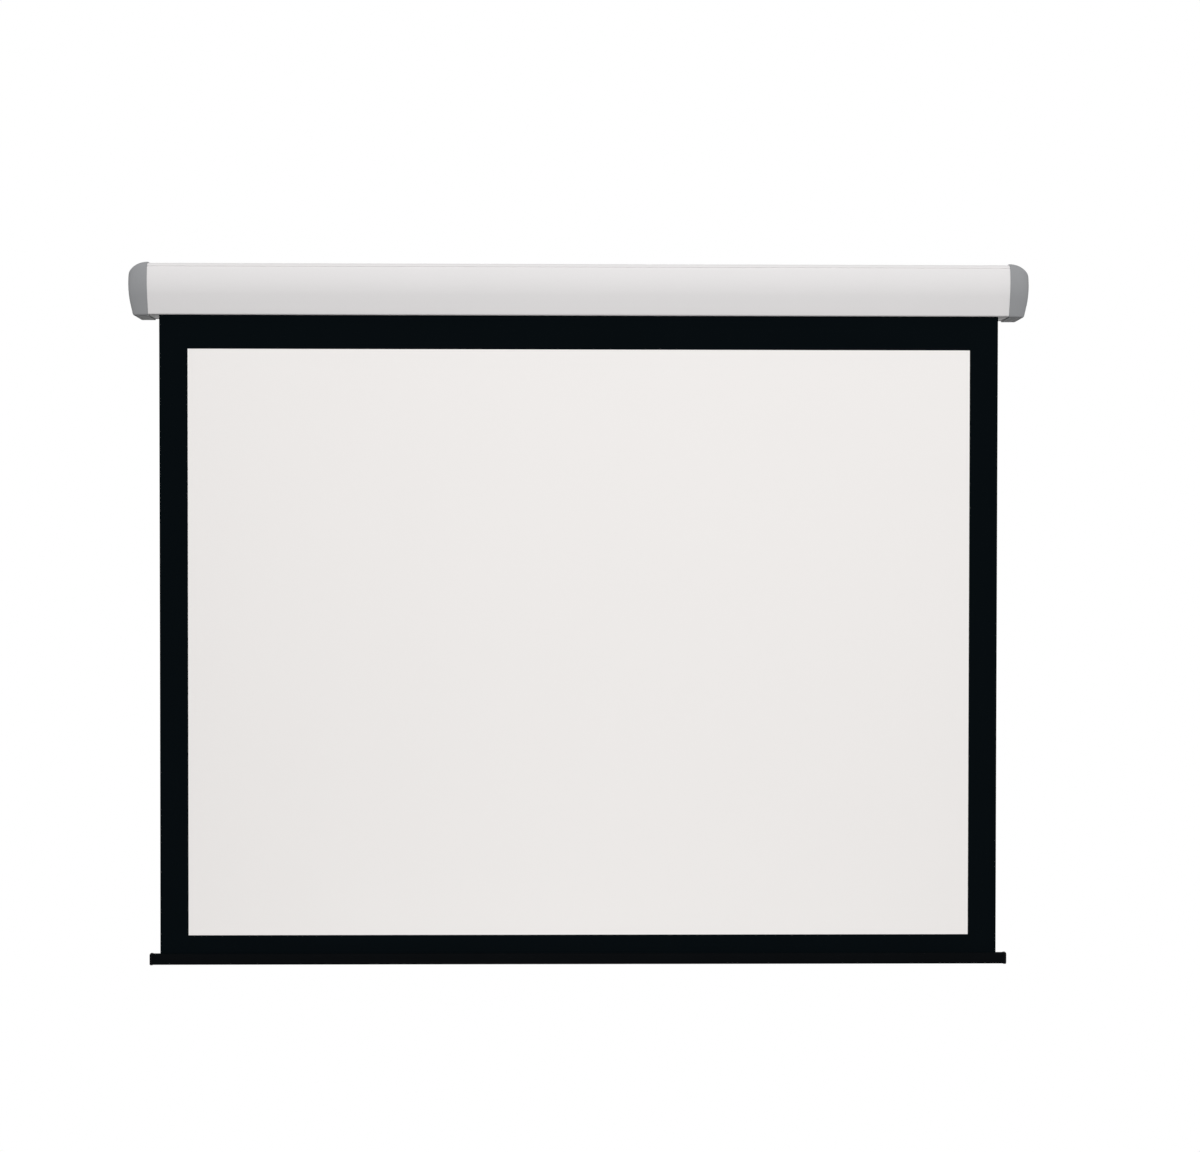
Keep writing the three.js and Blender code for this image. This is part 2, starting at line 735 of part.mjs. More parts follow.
// What fits in the roller's end: a plug with a keyway, a bore and a flange outside the tube
function plug(fromX, toX, bore, flangeX) {
  const outer = keywayOutline(boreRadius - runningGap, keywayWidth + 2 * rollerWall + 2 * runningGap,
    keywayDepth + runningGap);
  let body = bar(outer, fromX, toX);
  if (flangeX) body = body.add(bar(circle(rollerDepth, rollerHeight, rollerRadius), ...flangeX));
  return body.subtract(bar(bore, Math.min(fromX, ...(flangeX ?? [fromX])) - overrun,
    Math.max(toX, ...(flangeX ?? [toX])) + overrun));
}

const motorCrown = () => plug(rollerLeft, rollerLeft + crownLength,
  circle(rollerDepth, rollerHeight, motorRadius + runningGap), [rollerLeft - crownFlange, rollerLeft]);

const driveWheel = () => plug(motorFar + seatGap + (shaftLength - wheelLength),
  motorFar + seatGap + shaftLength, shaftOutline(shaftRadius + runningGap, shaftFlat + runningGap));

const idlerPlug = () => plug(rollerRight - idlerPlugLength, rollerRight,
  circle(rollerDepth, rollerHeight, bushRadius + runningGap), [rollerRight, rollerRight + crownFlange]);

// Flanged bush, pressed into the idler plug from outside
function idlerBush() {
  const face = rollerRight + crownFlange;
  const body = bar(circle(rollerDepth, rollerHeight, bushRadius), face - bushLength, face);
  const flange = bar(circle(rollerDepth, rollerHeight, bushFlange), face, face + bushFlangeThickness);
  return body.add(flange).subtract(bar(circle(rollerDepth, rollerHeight, pinRadius + runningGap),
    face - bushLength - overrun, face + bushFlangeThickness + overrun));
}

function idlerPin() {
  const shoulderFrom = rollerRight + crownFlange + bushFlangeThickness + seatGap;
  const plateOut = halfCase + plateThickness;
  const rows = [
    [halfCase - pinLength, 0], [halfCase - pinLength, pinRadius], [shoulderFrom, pinRadius],
    [shoulderFrom, pinShoulder], [halfCase, pinShoulder], [halfCase, rivetNeck], [plateOut, rivetNeck],
    [plateOut, rivetRadius], [plateOut + rivetHeight / 2, rivetRadius],
    [plateOut + rivetHeight, rivetRadius - rivetHeight], [plateOut + rivetHeight, 0],
  ];
  return turned(rows, rollerDepth, rollerHeight);
}

function keyRod() {
  const depth = rollerDepth - rollerRadius + keywayDepth - keyRodRadius - runningGap;
  return bar(circle(depth, rollerHeight, keyRodRadius, smallSteps), -sheetWidth / 2, sheetWidth / 2);
}

// The turns of cloth that stay on the roller: a spiral that ends at the front, where the sheet drops
function remainingTurns() {
  const steps = Math.round(turnSteps * turnsLeft);
  const side = (grow) => Array.from({ length: steps + 1 }, (_, k) => {
    const angle = 2 * Math.PI * turnsLeft * (1 - k / steps);
    const radius = wrapStart + turnPitch * turnsLeft * (k / steps) + grow;
    return new THREE.Vector2(rollerDepth + radius * Math.cos(angle), rollerHeight + radius * Math.sin(angle));
  });
  const outline = [...side(sheetThickness), ...side(0).reverse()];
  return bar(outline, -sheetWidth / 2, sheetWidth / 2);
}

function screenSheet() {
  const top = rollerHeight - seatGap;
  const foot = hemHeight + hemRodRadius + seatGap;
  return box(0, sheetDepth, (top + foot) / 2, sheetWidth, sheetThickness, top - foot);
}

// Black border on the front of the sheet, round the picture and up to the roller
function maskBorder() {
  const top = rollerHeight - seatGap;
  const foot = barTop + seatGap;
  const depth = sheetDepth + (sheetThickness + maskThickness) / 2;
  const whole = box(0, depth, (top + foot) / 2, sheetWidth, maskThickness, top - foot);
  const pictureMiddle = pictureTop - pictureHeight / 2;
  return whole.subtract(box(0, depth, pictureMiddle, pictureWidth, 2 * overrun, pictureHeight));
}

const barCorners = (grow) => [[-1, -1], [1, -1], [1, 1], [-1, 1]].map(([depthSign, heightSign]) => ({
  depth: sheetDepth + depthSign * (barDepth / 2 + grow),
  height: (barTop + barFoot) / 2 + heightSign * (barHeight / 2 + grow),
  radius: barRadius + grow,
  steps: cornerSteps,
}));

const weightHeight = barFoot + weightRise;

function bottomBar() {
  const half = barLength / 2;
  const past = [-half - overrun, half + overrun];
  const slot = rectangle(sheetDepth, (barTop + overrun + hemHeight) / 2, barSlot, barTop + overrun - hemHeight);
  return bar(roundedOutline(barCorners(0)), -half, half)
    .subtract(bar(circle(sheetDepth, hemHeight, hemBore, smallSteps), ...past))
    .subtract(bar(slot, ...past))
    .subtract(bar(circle(sheetDepth, weightHeight, weightBore, smallSteps), ...past));
}

function barEndCap(side) {
  const half = barLength / 2;
  const outline = (grow, x) => roundedOutline(barCorners(grow))
    .map((point) => new THREE.Vector3(x, -point.x, point.y));
  const cap = loft([
    outline(barCapRim, half), outline(barCapRim, half + barCapThickness - barCapRound),
    outline(barCapRim - barCapRound, half + barCapThickness),
  ]);
  const peg = bar(circle(sheetDepth, weightHeight, weightRodRadius, smallSteps), half - barPegLength,
    half + barCapThickness / 2);
  const body = cap.add(peg);
  return side > 0 ? body : body.scale(turnToLeft);
}

function rodAlongBar(height, radius, length) {
  return bar(circle(sheetDepth, height, radius, smallSteps), -length / 2, length / 2);
}

const bushingX = -halfCase - bushingInset;
const bossTopHeight = caseTop + capOverlap;

function cableBushing() {
  const seat = bossTopHeight;
  return post(bushingX, bushingDepth, seat, seat + bushingFlangeHeight, bushingFlange)
    .add(post(bushingX, bushingDepth, seat, seat + bushingFlangeHeight + bushingCollarHeight, bushingCollar))
    .add(post(bushingX, bushingDepth, seat - bossHeight, seat + overrun, bushingStem))
    .subtract(post(bushingX, bushingDepth, seat - bossHeight - overrun,
      seat + bushingFlangeHeight + bushingCollarHeight + overrun, bushingBore));
}

// The motor's lead inside the cap, from the head to the bushing
function motorLead() {
  const startDepth = leadExitDepth + leadRadius;
  const endTop = bossTopHeight - bossHeight - seatGap;
  const path = new THREE.CatmullRomCurve3([
    new THREE.Vector3(-halfCase - seatGap, -startDepth, leadExitHeight),
    new THREE.Vector3(-halfCase - bushingInset, -startDepth, leadExitHeight + leadRadius),
    new THREE.Vector3(bushingX - leadRadius, -(startDepth + bushingDepth) / 2, (leadExitHeight + endTop) / 2),
    new THREE.Vector3(bushingX, -bushingDepth, endTop),
  ], false, 'centripetal');
  const section = new THREE.Shape(circle(0, 0, leadRadius, hexSides + 2));
  const geometry = new THREE.ExtrudeGeometry(section, { steps: 2 * cornerSteps, extrudePath: path });
  return solidEitherWay(closed(geometry));
}

// Builds one piece for the left and one for the right, and names them
function pair(name, build, finish) {
  add(`${name}_left`, build(-1), finish);
  add(`${name}_right`, build(1), finish);
}

add('case_extrusion', caseExtrusion(), finishes.caseWhite);
pair('end_plate', endPlate, finishes.zinc);
pair('end_cap', endCap, finishes.capGrey);
ports.forEach((port, i) => pair(`plate_screw_${i + 1}`, (side) => plateScrew(side, port), finishes.zinc));
pair('wall_bracket', (side) => wallBracket(side * bracketOffset), finishes.zinc);
pair('bracket_screw', (side) => bracketScrew(side * bracketOffset), finishes.steel);

add('motor_head', motorHead(), finishes.darkPlastic);
add('motor_clip', motorClip(), finishes.steel);
add('limit_adjuster_up', limitAdjuster(adjusterPlaces[0]), finishes.whitePlastic);
add('limit_adjuster_down', limitAdjuster(adjusterPlaces[1]), finishes.yellowPlastic);
add('motor_tube', motorTube(), finishes.steel);
add('motor_lead', motorLead(), finishes.darkPlastic);
add('cable_bushing', cableBushing(), finishes.darkPlastic);

add('output_shaft', outputShaft(), finishes.steel);
add('drive_wheel', driveWheel(), finishes.darkPlastic);
add('motor_crown', motorCrown(), finishes.darkPlastic);
add('roller_tube', rollerTube(), finishes.zinc);
add('key_rod', keyRod(), finishes.whitePlastic);
add('cloth_turns', remainingTurns(), finishes.screenWhite);
add('idler_plug', idlerPlug(), finishes.darkPlastic);
add('idler_bush', idlerBush(), finishes.whitePlastic);
add('idler_pin', idlerPin(), finishes.steel);

add('screen_sheet', screenSheet(), finishes.screenWhite);
add('mask_border', maskBorder(), finishes.maskBlack);
add('bottom_bar', bottomBar(), finishes.barBlack);
add('hem_rod', rodAlongBar(hemHeight, hemRodRadius, sheetWidth), finishes.steel);
add('weight_rod', rodAlongBar(weightHeight, weightRodRadius, barLength - 2 * barPegLength - 2 * seatGap),
  finishes.steel);
pair('bar_end_cap', barEndCap, finishes.darkPlastic);

export default screen;
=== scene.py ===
"""Dresses the lowered projection screen: case, moulded ends, roller, bordered cloth and bottom bar."""
import logging
import math
from collections.abc import Callable, Iterable, Sequence
from dataclasses import dataclass, field
from enum import Enum

import bmesh
import bpy
from mathutils import Matrix, Vector
from mathutils.geometry import delaunay_2d_cdt


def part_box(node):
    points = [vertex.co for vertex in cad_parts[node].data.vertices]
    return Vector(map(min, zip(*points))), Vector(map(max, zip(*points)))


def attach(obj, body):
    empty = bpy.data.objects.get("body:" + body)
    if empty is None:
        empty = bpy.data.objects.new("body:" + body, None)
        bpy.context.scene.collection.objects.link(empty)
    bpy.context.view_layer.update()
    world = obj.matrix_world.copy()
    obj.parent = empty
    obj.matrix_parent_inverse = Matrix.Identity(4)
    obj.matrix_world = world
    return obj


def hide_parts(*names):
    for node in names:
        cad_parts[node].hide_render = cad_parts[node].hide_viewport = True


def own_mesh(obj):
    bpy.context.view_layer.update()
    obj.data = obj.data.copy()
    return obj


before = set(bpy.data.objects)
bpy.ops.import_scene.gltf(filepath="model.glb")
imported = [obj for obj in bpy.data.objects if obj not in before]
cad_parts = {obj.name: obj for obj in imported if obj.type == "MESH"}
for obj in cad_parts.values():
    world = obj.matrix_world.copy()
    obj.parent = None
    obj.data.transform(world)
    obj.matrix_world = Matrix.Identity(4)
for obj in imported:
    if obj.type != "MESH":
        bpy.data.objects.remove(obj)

LOG = logging.getLogger("projection_screen")
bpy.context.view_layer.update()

# One millimetre in the scene's metres, and which way along X each side lies
MM = 0.001
SIDES = {"left": -1, "right": 1}

# Edges that turn less than this are shaded smooth, and the others stay sharp
SMOOTH_BELOW = math.radians(32)

# The sRGB curve: a straight line below its knee, and a power above it
SRGB_KNEE = 0.04045
SRGB_SLOPE = 12.92
SRGB_OFFSET = 0.055
SRGB_POWER = 2.4

# Least rounding of a rounded corner, and least reach of two roundings along the edge between them, in mm
LEAST_ROUNDING = 0.4

# Points this close in mm are one, in a section and in a CAD node's mesh
SECTION_WELD = 0.0001
NODE_WELD = 0.002

# Faces that meet at less than this angle are one flat face, at a prism's ends and in a CAD node's mesh
SECTION_FLAT = 0.001
NODE_FLAT = math.radians(0.5)

# A prism's end faces point along X by at least this share
END_FACING = 0.99

# A softened edge has this many facets, along a round profile
BEVEL_FACETS = 2
BEVEL_PROFILE = 0.5

# How far a cut runs past the face that it opens, in mm
CUT_OVER = 1

Point = tuple[float, float]


def to_linear(colour: str) -> tuple[float, float, float, float]:
    """Turns an sRGB colour into the linear one that a shader takes.

    Args:
        colour: Six hex digits after a hash sign.

    Returns:
        Red, green, blue and an alpha of one.
    """
    shares = [int(colour[i:i + 2], 16) / 255 for i in (1, 3, 5)]
    linear = [s / SRGB_SLOPE if s <= SRGB_KNEE else ((s + SRGB_OFFSET) / (1 + SRGB_OFFSET)) ** SRGB_POWER
              for s in shares]
    return (*linear, 1.0)


def add_node(tree: bpy.types.NodeTree, kind: str, links: dict[str | int, object] | None = None,
             **settings: object) -> bpy.types.Node:
    """Adds a node with its settings and what goes into its sockets.

    Args:
        tree: The node tree that takes the node.
        kind: The node's type name.
        links: Socket name or number to an output socket, or to a plain value.
        **settings: Attributes of the node itself.

    Returns:
        The new node.
    """
    node = tree.nodes.new(kind)
    for name, value in settings.items():
        setattr(node, name, value)
    for socket, value in (links or {}).items():
        if isinstance(value, bpy.types.NodeSocket):
            tree.links.new(value, node.inputs[socket])
        else:
            node.inputs[socket].default_value = value
    return node


def average(tree: bpy.types.NodeTree, first: bpy.types.NodeSocket,
            second: bpy.types.NodeSocket) -> bpy.types.NodeSocket:
    """Gives the middle between two values."""
    both = add_node(tree, "ShaderNodeMath", {0: first, 1: second}, operation="ADD")
    return add_node(tree, "ShaderNodeMath", {0: both.outputs[0], 1: 0.5}, operation="MULTIPLY").outputs[0]


def eased(tree: bpy.types.NodeTree, value: bpy.types.NodeSocket, span: tuple[float, float],
          ends: tuple[float, float | bpy.types.NodeSocket] = (0.0, 1.0)) -> bpy.types.NodeSocket:
    """Leads softly from one value to another.

    Args:
        tree: The node tree that takes the node.
        value: The value that decides.
        span: Where in it the change starts and ends.
        ends: What comes out before the change and after it.

    Returns:
        The eased value.
    """
    return add_node(tree, "ShaderNodeMapRange", {
        "Value": value, "From Min": span[0], "From Max": span[1], "To Min": ends[0], "To Max": ends[1]},
        interpolation_type="SMOOTHSTEP").outputs["Result"]


def empty_tree(owner: bpy.types.Material | bpy.types.World) -> bpy.types.NodeTree:
    """Turns on a material's or a world's nodes and clears the first ones away.

    Args:
        owner: The material or the world.

    Returns:
        Its empty node tree.
    """
    owner.use_nodes = True
    owner.node_tree.nodes.clear()
    return owner.node_tree


def add_object(name: str, data: bpy.types.ID) -> bpy.types.Object:
    """Puts a mesh, a lamp or a camera in the scene.

    Args:
        name: The object's name.
        data: What it shows.

    Returns:
        The new object.
    """
    made = bpy.data.objects.new(name, data)
    bpy.context.scene.collection.objects.link(made)
    return made


def add_mesh(name: str, bm: bmesh.types.BMesh) -> bpy.types.Object:
    """Puts a mesh in the scene, in its own unit.

    Args:
        name: The name of the object and of its mesh.
        bm: The mesh, which is freed.

    Returns:
        The new object.
    """
    mesh = bpy.data.meshes.new(name)
    bm.to_mesh(mesh)
    bm.free()
    return add_object(name, mesh)


class Pattern(Enum):
    """The kinds of fine surface that the finishes have."""

    SPECKLE = "even grain from paint, ink or a mould"
    BRUSHED = "fine lines along the piece"
    PLATED = "soft patches of a plated or rolled metal"
    SPANGLE = "crystal patches of hot dip zinc"
    WOVEN = "crossed threads under a coating"


# How far a pattern is drawn out along X, Y and Z
STRETCHES = {Pattern.BRUSHED: (0.02, 1, 1), Pattern.PLATED: (0.4, 1, 1)}


@dataclass(frozen=True)
class Finish:
    """A real material and how its surface was made; its clouds are drifts of tone some 14 cm apart."""

    name: str
    colour: str
    roughness: float
    grain_mm: float
    relief_mm: float
    tone_share: float
    pattern: Pattern = Pattern.SPECKLE
    metallic: float = 0.0
    specular: float = 0.5
    cloud_scale: float = 7.0
    cloud_detail: float = 2.0
    grain_detail: float = 3.0
    thread_detail: float = 1.0
    thread_distortion: float = 0.6
    tone_from: float = 0.3
    tone_to: float = 0.7
    roughness_drift: float = 0.04
    relief_strength: float = 0.5

    def build(self) -> bpy.types.Material:
        """Makes the finish's material, or finds the one already made.

        Returns:
            The material, with its grain in the colour, the roughness and the relief.
        """
        made = bpy.data.materials.get(self.name)
        if made:
            return made
        material = bpy.data.materials.new(self.name)
        tree = empty_tree(material)
        place = add_node(tree, "ShaderNodeTexCoord").outputs["Object"]
        fine = self._grain(tree, place)
        cloud = add_node(tree, "ShaderNodeTexNoise", {
            "Vector": place, "Scale": self.cloud_scale, "Detail": self.cloud_detail})
        red, green, blue, _ = to_linear(self.colour)
        low, high = 1 - self.tone_share, 1 + self.tone_share
        ramp = add_node(tree, "ShaderNodeValToRGB", {"Fac": average(tree, fine, cloud.outputs["Fac"])})
        for element, share, position in zip(
                ramp.color_ramp.elements, (low, high), (self.tone_from, self.tone_to)):
            element.color = (min(red * share, 1), min(green * share, 1), min(blue * share, 1), 1)
            element.position = position
        rough = add_node(tree, "ShaderNodeMapRange", {
            "Value": fine, "To Min": self.roughness - self.roughness_drift,
            "To Max": self.roughness + self.roughness_drift})
        relief = add_node(tree, "ShaderNodeBump", {
            "Height": fine, "Strength": self.relief_strength, "Distance": self.relief_mm * MM})
        shader = add_node(tree, "ShaderNodeBsdfPrincipled", {
            "Base Color": ramp.outputs["Color"], "Roughness": rough.outputs["Result"],
            "Normal": relief.outputs["Normal"], "Metallic": self.metallic,
            "Specular IOR Level": self.specular})
        add_node(tree, "ShaderNodeOutputMaterial", {"Surface": shader.outputs["BSDF"]})
        return material

    def _grain(self, tree: bpy.types.NodeTree, place: bpy.types.NodeSocket) -> bpy.types.NodeSocket:
        """Adds the fine pattern, whose scale comes from its real size.

        Args:
            tree: The material's node tree.
            place: The coordinates that the pattern lies on, in metres.

        Returns:
            The pattern's height from 0 to 1.
        """
        scale = 1 / (self.grain_mm * MM)
        if self.pattern is Pattern.SPANGLE:
            cells = add_node(tree, "ShaderNodeTexVoronoi", {"Vector": place, "Scale": scale}, feature="F1")
            return cells.outputs["Color"]
        if self.pattern is Pattern.WOVEN:
            waves = [add_node(tree, "ShaderNodeTexWave", {
                "Vector": place, "Scale": scale / (2 * math.pi), "Distortion": self.thread_distortion,
                "Detail": self.thread_detail}, bands_direction=way).outputs["Fac"] for way in ("X", "Z")]
            return average(tree, *waves)
        stretch = STRETCHES.get(self.pattern, (1, 1, 1))
        mapped = add_node(tree, "ShaderNodeMapping", {"Vector": place, "Scale": stretch})
        return add_node(tree, "ShaderNodeTexNoise", {
            "Vector": mapped.outputs["Vector"], "Scale": scale, "Detail": self.grain_detail}).outputs["Fac"]


# Polyester powder baked on aluminium: an even satin white, with the faint waves of orange peel 2 mm apart
POWDER_COAT = Finish("powder_coated_aluminium_white", "#E3E1E1", 0.45, 2.0, 0.012, 0.006, specular=0.2)
# Injection moulded ABS with a fine spark eroded grain: a mid grey, faintly cold, with a broad soft highlight
MOULDED_ABS = Finish("moulded_abs_grey", "#969799", 0.55, 0.7, 0.010, 0.012, specular=0.12)
# Matt white PVC on a glass fibre weave: no gloss at all; the threads, 0.5 mm apart, are drawn at 1.5 mm
COATED_PVC = Finish("calendered_pvc_cloth_matt_white", "#F2EFED", 0.92, 1.5, 0.004, 0.004, Pattern.WOVEN,
                    specular=0.12)
# The same cloth's black coated back, which stops light from behind: dull, a shade lighter than the ink
PVC_BACKING = Finish("calendered_pvc_cloth_black_backing", "#17181A", 0.85, 1.5, 0.006, 0.05, Pattern.WOVEN,
                     specular=0.15)
# Screen printed matt ink round the picture: near black with a cold tint and hardly any reflection
PRINTED_INK = Finish("screen_printed_ink_black", "#060B0E", 0.9, 1.0, 0.002, 0.08, specular=0.03)
# Extruded aluminium, black anodised: the dyed oxide hides the metal, so it is dark, with faint die lines
ANODISED = Finish("anodised_aluminium_black", "#0A0C0E", 0.65, 0.6, 0.003, 0.08, Pattern.BRUSHED,
                  specular=0.01)
# Injection moulded nylon, black: far darker than the ABS, and a shade glossier than the bar
MOULDED_NYLON = Finish("moulded_nylon_black", "#0A0B0D", 0.6, 0.6, 0.008, 0.06, specular=0.03)
# Glass filled nylon in the drive: charcoal, with visible flecks
FILLED_NYLON = Finish("glass_filled_nylon_charcoal", "#2B2C2E", 0.55, 0.9, 0.012, 0.08, specular=0.4)
# Pressed steel, blue passivated zinc: bright, a little cold, in soft patches some millimetres across
ZINC_PLATE = Finish("zinc_plated_steel_pressed", "#C3C5C6", 0.34, 5.0, 0.010, 0.06, Pattern.PLATED,
                    metallic=1.0)
# Rolled strip with hot dip zinc: pale grey with crystals 6 mm across
GALVANISED = Finish("galvanised_steel_rolled", "#B9BCBD", 0.4, 6.0, 0.006, 0.08, Pattern.SPANGLE,
                    metallic=1.0)
# Turned and drawn bright steel: the sharpest highlights of all, with fine tool lines
BRIGHT_STEEL = Finish("bright_steel_turned", "#B4B7B9", 0.26, 0.5, 0.004, 0.05, Pattern.BRUSHED,
                      metallic=1.0)
# Moulded acetal, natural white and dyed yellow: smooth and slightly waxy
ACETAL_WHITE = Finish("moulded_acetal_white", "#E8E6DF", 0.4, 0.8, 0.006, 0.02)
ACETAL_YELLOW = Finish("moulded_acetal_yellow", "#D9B43A", 0.4, 0.8, 0.006, 0.03)
# PVC sheath extruded round a lead: soft black with a dull bloom
LEAD_SHEATH = Finish("extruded_pvc_sheath_black", "#1B1C1E", 0.6, 1.2, 0.01, 0.06, specular=0.3)


@dataclass(frozen=True)
class Corner:
    """A corner of a section: depth from the wall and height, in mm, with its rounding."""

    depth: float
    height: float
    radius: float = 0.0
    steps: int = 0


def inset(corners: Sequence[Corner], distances: Sequence[float]) -> list[Corner]:
    """Moves each edge of an outline inwards by its own distance.

    Args:
        corners: The outline, anticlockwise; edge i runs from corner i to the next.
        distances: One distance in mm for each edge.

    Returns:
        The new corners, with their roundings kept concentric.
    """
    count, edges, moved = len(corners), [], []
    for i, corner in enumerate(corners):
        after = corners[(i + 1) % count]
        along = Vector((after.depth - corner.depth, after.height - corner.height)).normalized()
        start = Vector((corner.depth, corner.height)) + Vector((-along.y, along.x)) * distances[i]
        edges.append((along, start))
    for i, corner in enumerate(corners):
        (before, first), (onward, start) = edges[i - 1], edges[i]
        turn = before.x * onward.y - before.y * onward.x
        gap = start - first
        reach = (gap.x * onward.y - gap.y * onward.x) / turn
        point = first + before * reach
        shift = (distances[i] + distances[i - 1]) / 2
        rounding = corner.radius - shift * math.copysign(1, turn)
        radius = max(rounding, LEAST_ROUNDING) if corner.steps else 0.0
        moved.append(Corner(point.x, point.y, radius, corner.steps))
    return moved


def rounded(corners: Sequence[Corner]) -> list[Point]:
    """Draws each corner of an outline as an arc, short enough that no two arcs cross.

    Args:
        corners: The outline, anticlockwise.

    Returns:
        The outline's points in mm.
    """
    count, wanted, points = len(corners), [], []
    spots = [Vector((c.depth, c.height)) for c in corners]
    for i, corner in enumerate(corners):
        back = (spots[i - 1] - spots[i]).normalized()
        onward = (spots[(i + 1) % count] - spots[i]).normalized()
        half = math.acos(max(-1.0, min(1.0, back.dot(onward)))) / 2
        wanted.append((corner.radius / math.tan(half), back, onward, half))
    fit = [min(1.0, (spots[(i + 1) % count] - spots[i]).length
               / max(wanted[i][0] + wanted[(i + 1) % count][0], LEAST_ROUNDING)) for i in range(count)]
    for i, corner in enumerate(corners):
        if not corner.steps:
            points.append((spots[i].x, spots[i].y))
            continue
        reach, back, onward, half = wanted[i]
        reach *= min(fit[i], fit[i - 1])
        centre = spots[i] + (back + onward).normalized() * (reach / math.cos(half))
        spoke = spots[i] + back * reach - centre
        side = math.copysign(1, onward.x * back.y - onward.y * back.x)
        sweep = (math.pi - 2 * half) * side
        for k in range(corner.steps + 1):
            turned = Matrix.Rotation(sweep * k / corner.steps, 2) @ spoke + centre
            points.append((turned.x, turned.y))
    return points


def rectangle(depth: float, height: float, across: float, tall: float) -> list[Point]:
    """Gives the corners of a rectangle about its middle, in mm."""
    return [(depth + i * across / 2, height + j * tall / 2) for i, j in ((-1, -1), (1, -1), (1, 1), (-1, 1))]


def circle(depth: float, height: float, radius: float, steps: int = 48) -> list[Point]:
    """Gives the points of a circle, in mm."""
    turns = [2 * math.pi * k / steps for k in range(steps)]
    return [(depth + radius * math.cos(a), height + radius * math.sin(a)) for a in turns]


class Action(Enum):
    """What an outline does to a section."""

    ADD = "adds its inside"
    SHARE = "adds what it shares with the first outline"
    CUT = "cuts its inside away"


@dataclass
class Section:
    """A flat section built up from outlines that are added or cut, in mm."""

    loops: list[tuple[Action, list[Point]]] = field(default_factory=list)

    def add(self, outline: list[Point]) -> "Section":
        """Adds the inside of an outline, and returns the section."""
        self.loops.append((Action.ADD, outline))
        return self

    def add_within_first(self, outline: list[Point]) -> "Section":
        """Adds what an outline shares with the first one, and returns the section."""
        self.loops.append((Action.SHARE, outline))
        return self

    def cut(self, outline: list[Point]) -> "Section":
        """Cuts the inside of an outline, and returns the section."""
        self.loops.append((Action.CUT, outline))
        return self

    def _kept(self, inside: Iterable[int]) -> bool:
        """Tells if a spot belongs to the section.

        Args:
            inside: The numbers of the outlines that the spot lies inside.

        Returns:
            True if it is solid once every outline has done its part.
        """
        held, solid = set(inside), False
        for number, (action, _) in enumerate(self.loops):
            if number in held and (action is not Action.SHARE or 0 in held):
                solid = action is not Action.CUT
        return solid

    def prism(self, start: float, end: float) -> bmesh.types.BMesh:
        """Draws the section along X.

        Args:
            start: X of one end, in mm.
            end: X of the other end, in mm.

        Returns:
            A closed mesh in mm.
        """
        points = [Vector(p) for _, loop in self.loops for p in loop]
        faces, first = [], 0
        for _, loop in self.loops:
            faces.append(list(range(first, first + len(loop))))
            first += len(loop)
        spots, _, cells, _, _, sources = delaunay_2d_cdt(points, [], faces, 1, SECTION_WELD, True)
        kept = [cell for cell, inside in zip(cells, sources) if self._kept(inside)]
        bm = bmesh.new()
        ends = []
        for x in (start, end):
            used = sorted({i for cell in kept for i in cell})
            ends.append({i: bm.verts.new((x, -spots[i].x, spots[i].y)) for i in used})
        rims = {}
        for cell in kept:
            for verts in ends:
                bm.faces.new([verts[i] for i in cell])
            for a, b in zip(cell, [*cell[1:], cell[0]]):
                rims[frozenset((a, b))] = rims.get(frozenset((a, b)), 0) + 1
        for rim, uses in rims.items():
            if uses == 1:
                a, b = rim
                bm.faces.new((ends[0][a], ends[0][b], ends[1][b], ends[1][a]))
        bmesh.ops.recalc_face_normals(bm, faces=bm.faces)
        # In the mesh's own order, so that every run joins the cells of the flat ends in the same way
        flat = [e for e in bm.edges if any(abs(f.normal.x) > END_FACING for f in e.link_faces)]
        bmesh.ops.dissolve_limit(bm, angle_limit=SECTION_FLAT, use_dissolve_boundaries=False,
                                 edges=flat, verts=[])
        return bm


def lofted(rings: Sequence[Sequence[Vector]]) -> bmesh.types.BMesh:
    """Joins rings of as many points each, and fills both end rings with a face.

    Args:
        rings: The rings in mm, from one end to the other.

    Returns:
        A closed mesh in mm.
    """
    bm = bmesh.new()
    rows = [[bm.verts.new(point) for point in ring] for ring in rings]
    for low, high in zip(rows, rows[1:]):
        for k in range(len(low)):
            after = (k + 1) % len(low)
            bm.faces.new((low[k], low[after], high[after], high[k]))
    bm.faces.new(rows[0][::-1])
    bm.faces.new(rows[-1])
    bmesh.ops.recalc_face_normals(bm, faces=bm.faces)
    return bm


def place_on_side(bm: bmesh.types.BMesh, side: int, place: Vector) -> None:
    """Moves a mesh that was made for the right side, mirrored if it goes to the left.

    Args:
        bm: The mesh in mm, built outwards along X from the origin.
        side: -1 for left or 1 for right.
        place: Where its origin goes.
    """
    bm.transform(Matrix.Translation(place) @ Matrix.Diagonal((side, 1, 1, 1)))
    if side < 0:
        bmesh.ops.reverse_faces(bm, faces=bm.faces)


def shade(bm: bmesh.types.BMesh) -> None:
    """Makes faces smooth across gentle edges and keeps sharp edges sharp.

    Args:
        bm: The mesh, which is changed.
    """
    for face in bm.faces:
        face.smooth = True
    for edge in bm.edges:
        edge.smooth = len(edge.link_faces) == 2 and edge.calc_face_angle(0) < SMOOTH_BELOW


def make_object(name: str, bm: bmesh.types.BMesh, *finishes: Finish) -> bpy.types.Object:
    """Turns a mesh into a finished piece of the scene.

    Args:
        name: The piece's name.
        bm: Its mesh in mm, which is freed.
        *finishes: Its finishes, in the order of the faces' material numbers.

    Returns:
        The new object.
    """
    shade(bm)
    bm.transform(Matrix.Diagonal((MM, MM, MM, 1)))
    piece = add_mesh(name, bm)
    for finish in finishes:
        piece.data.materials.append(finish.build())
    return piece


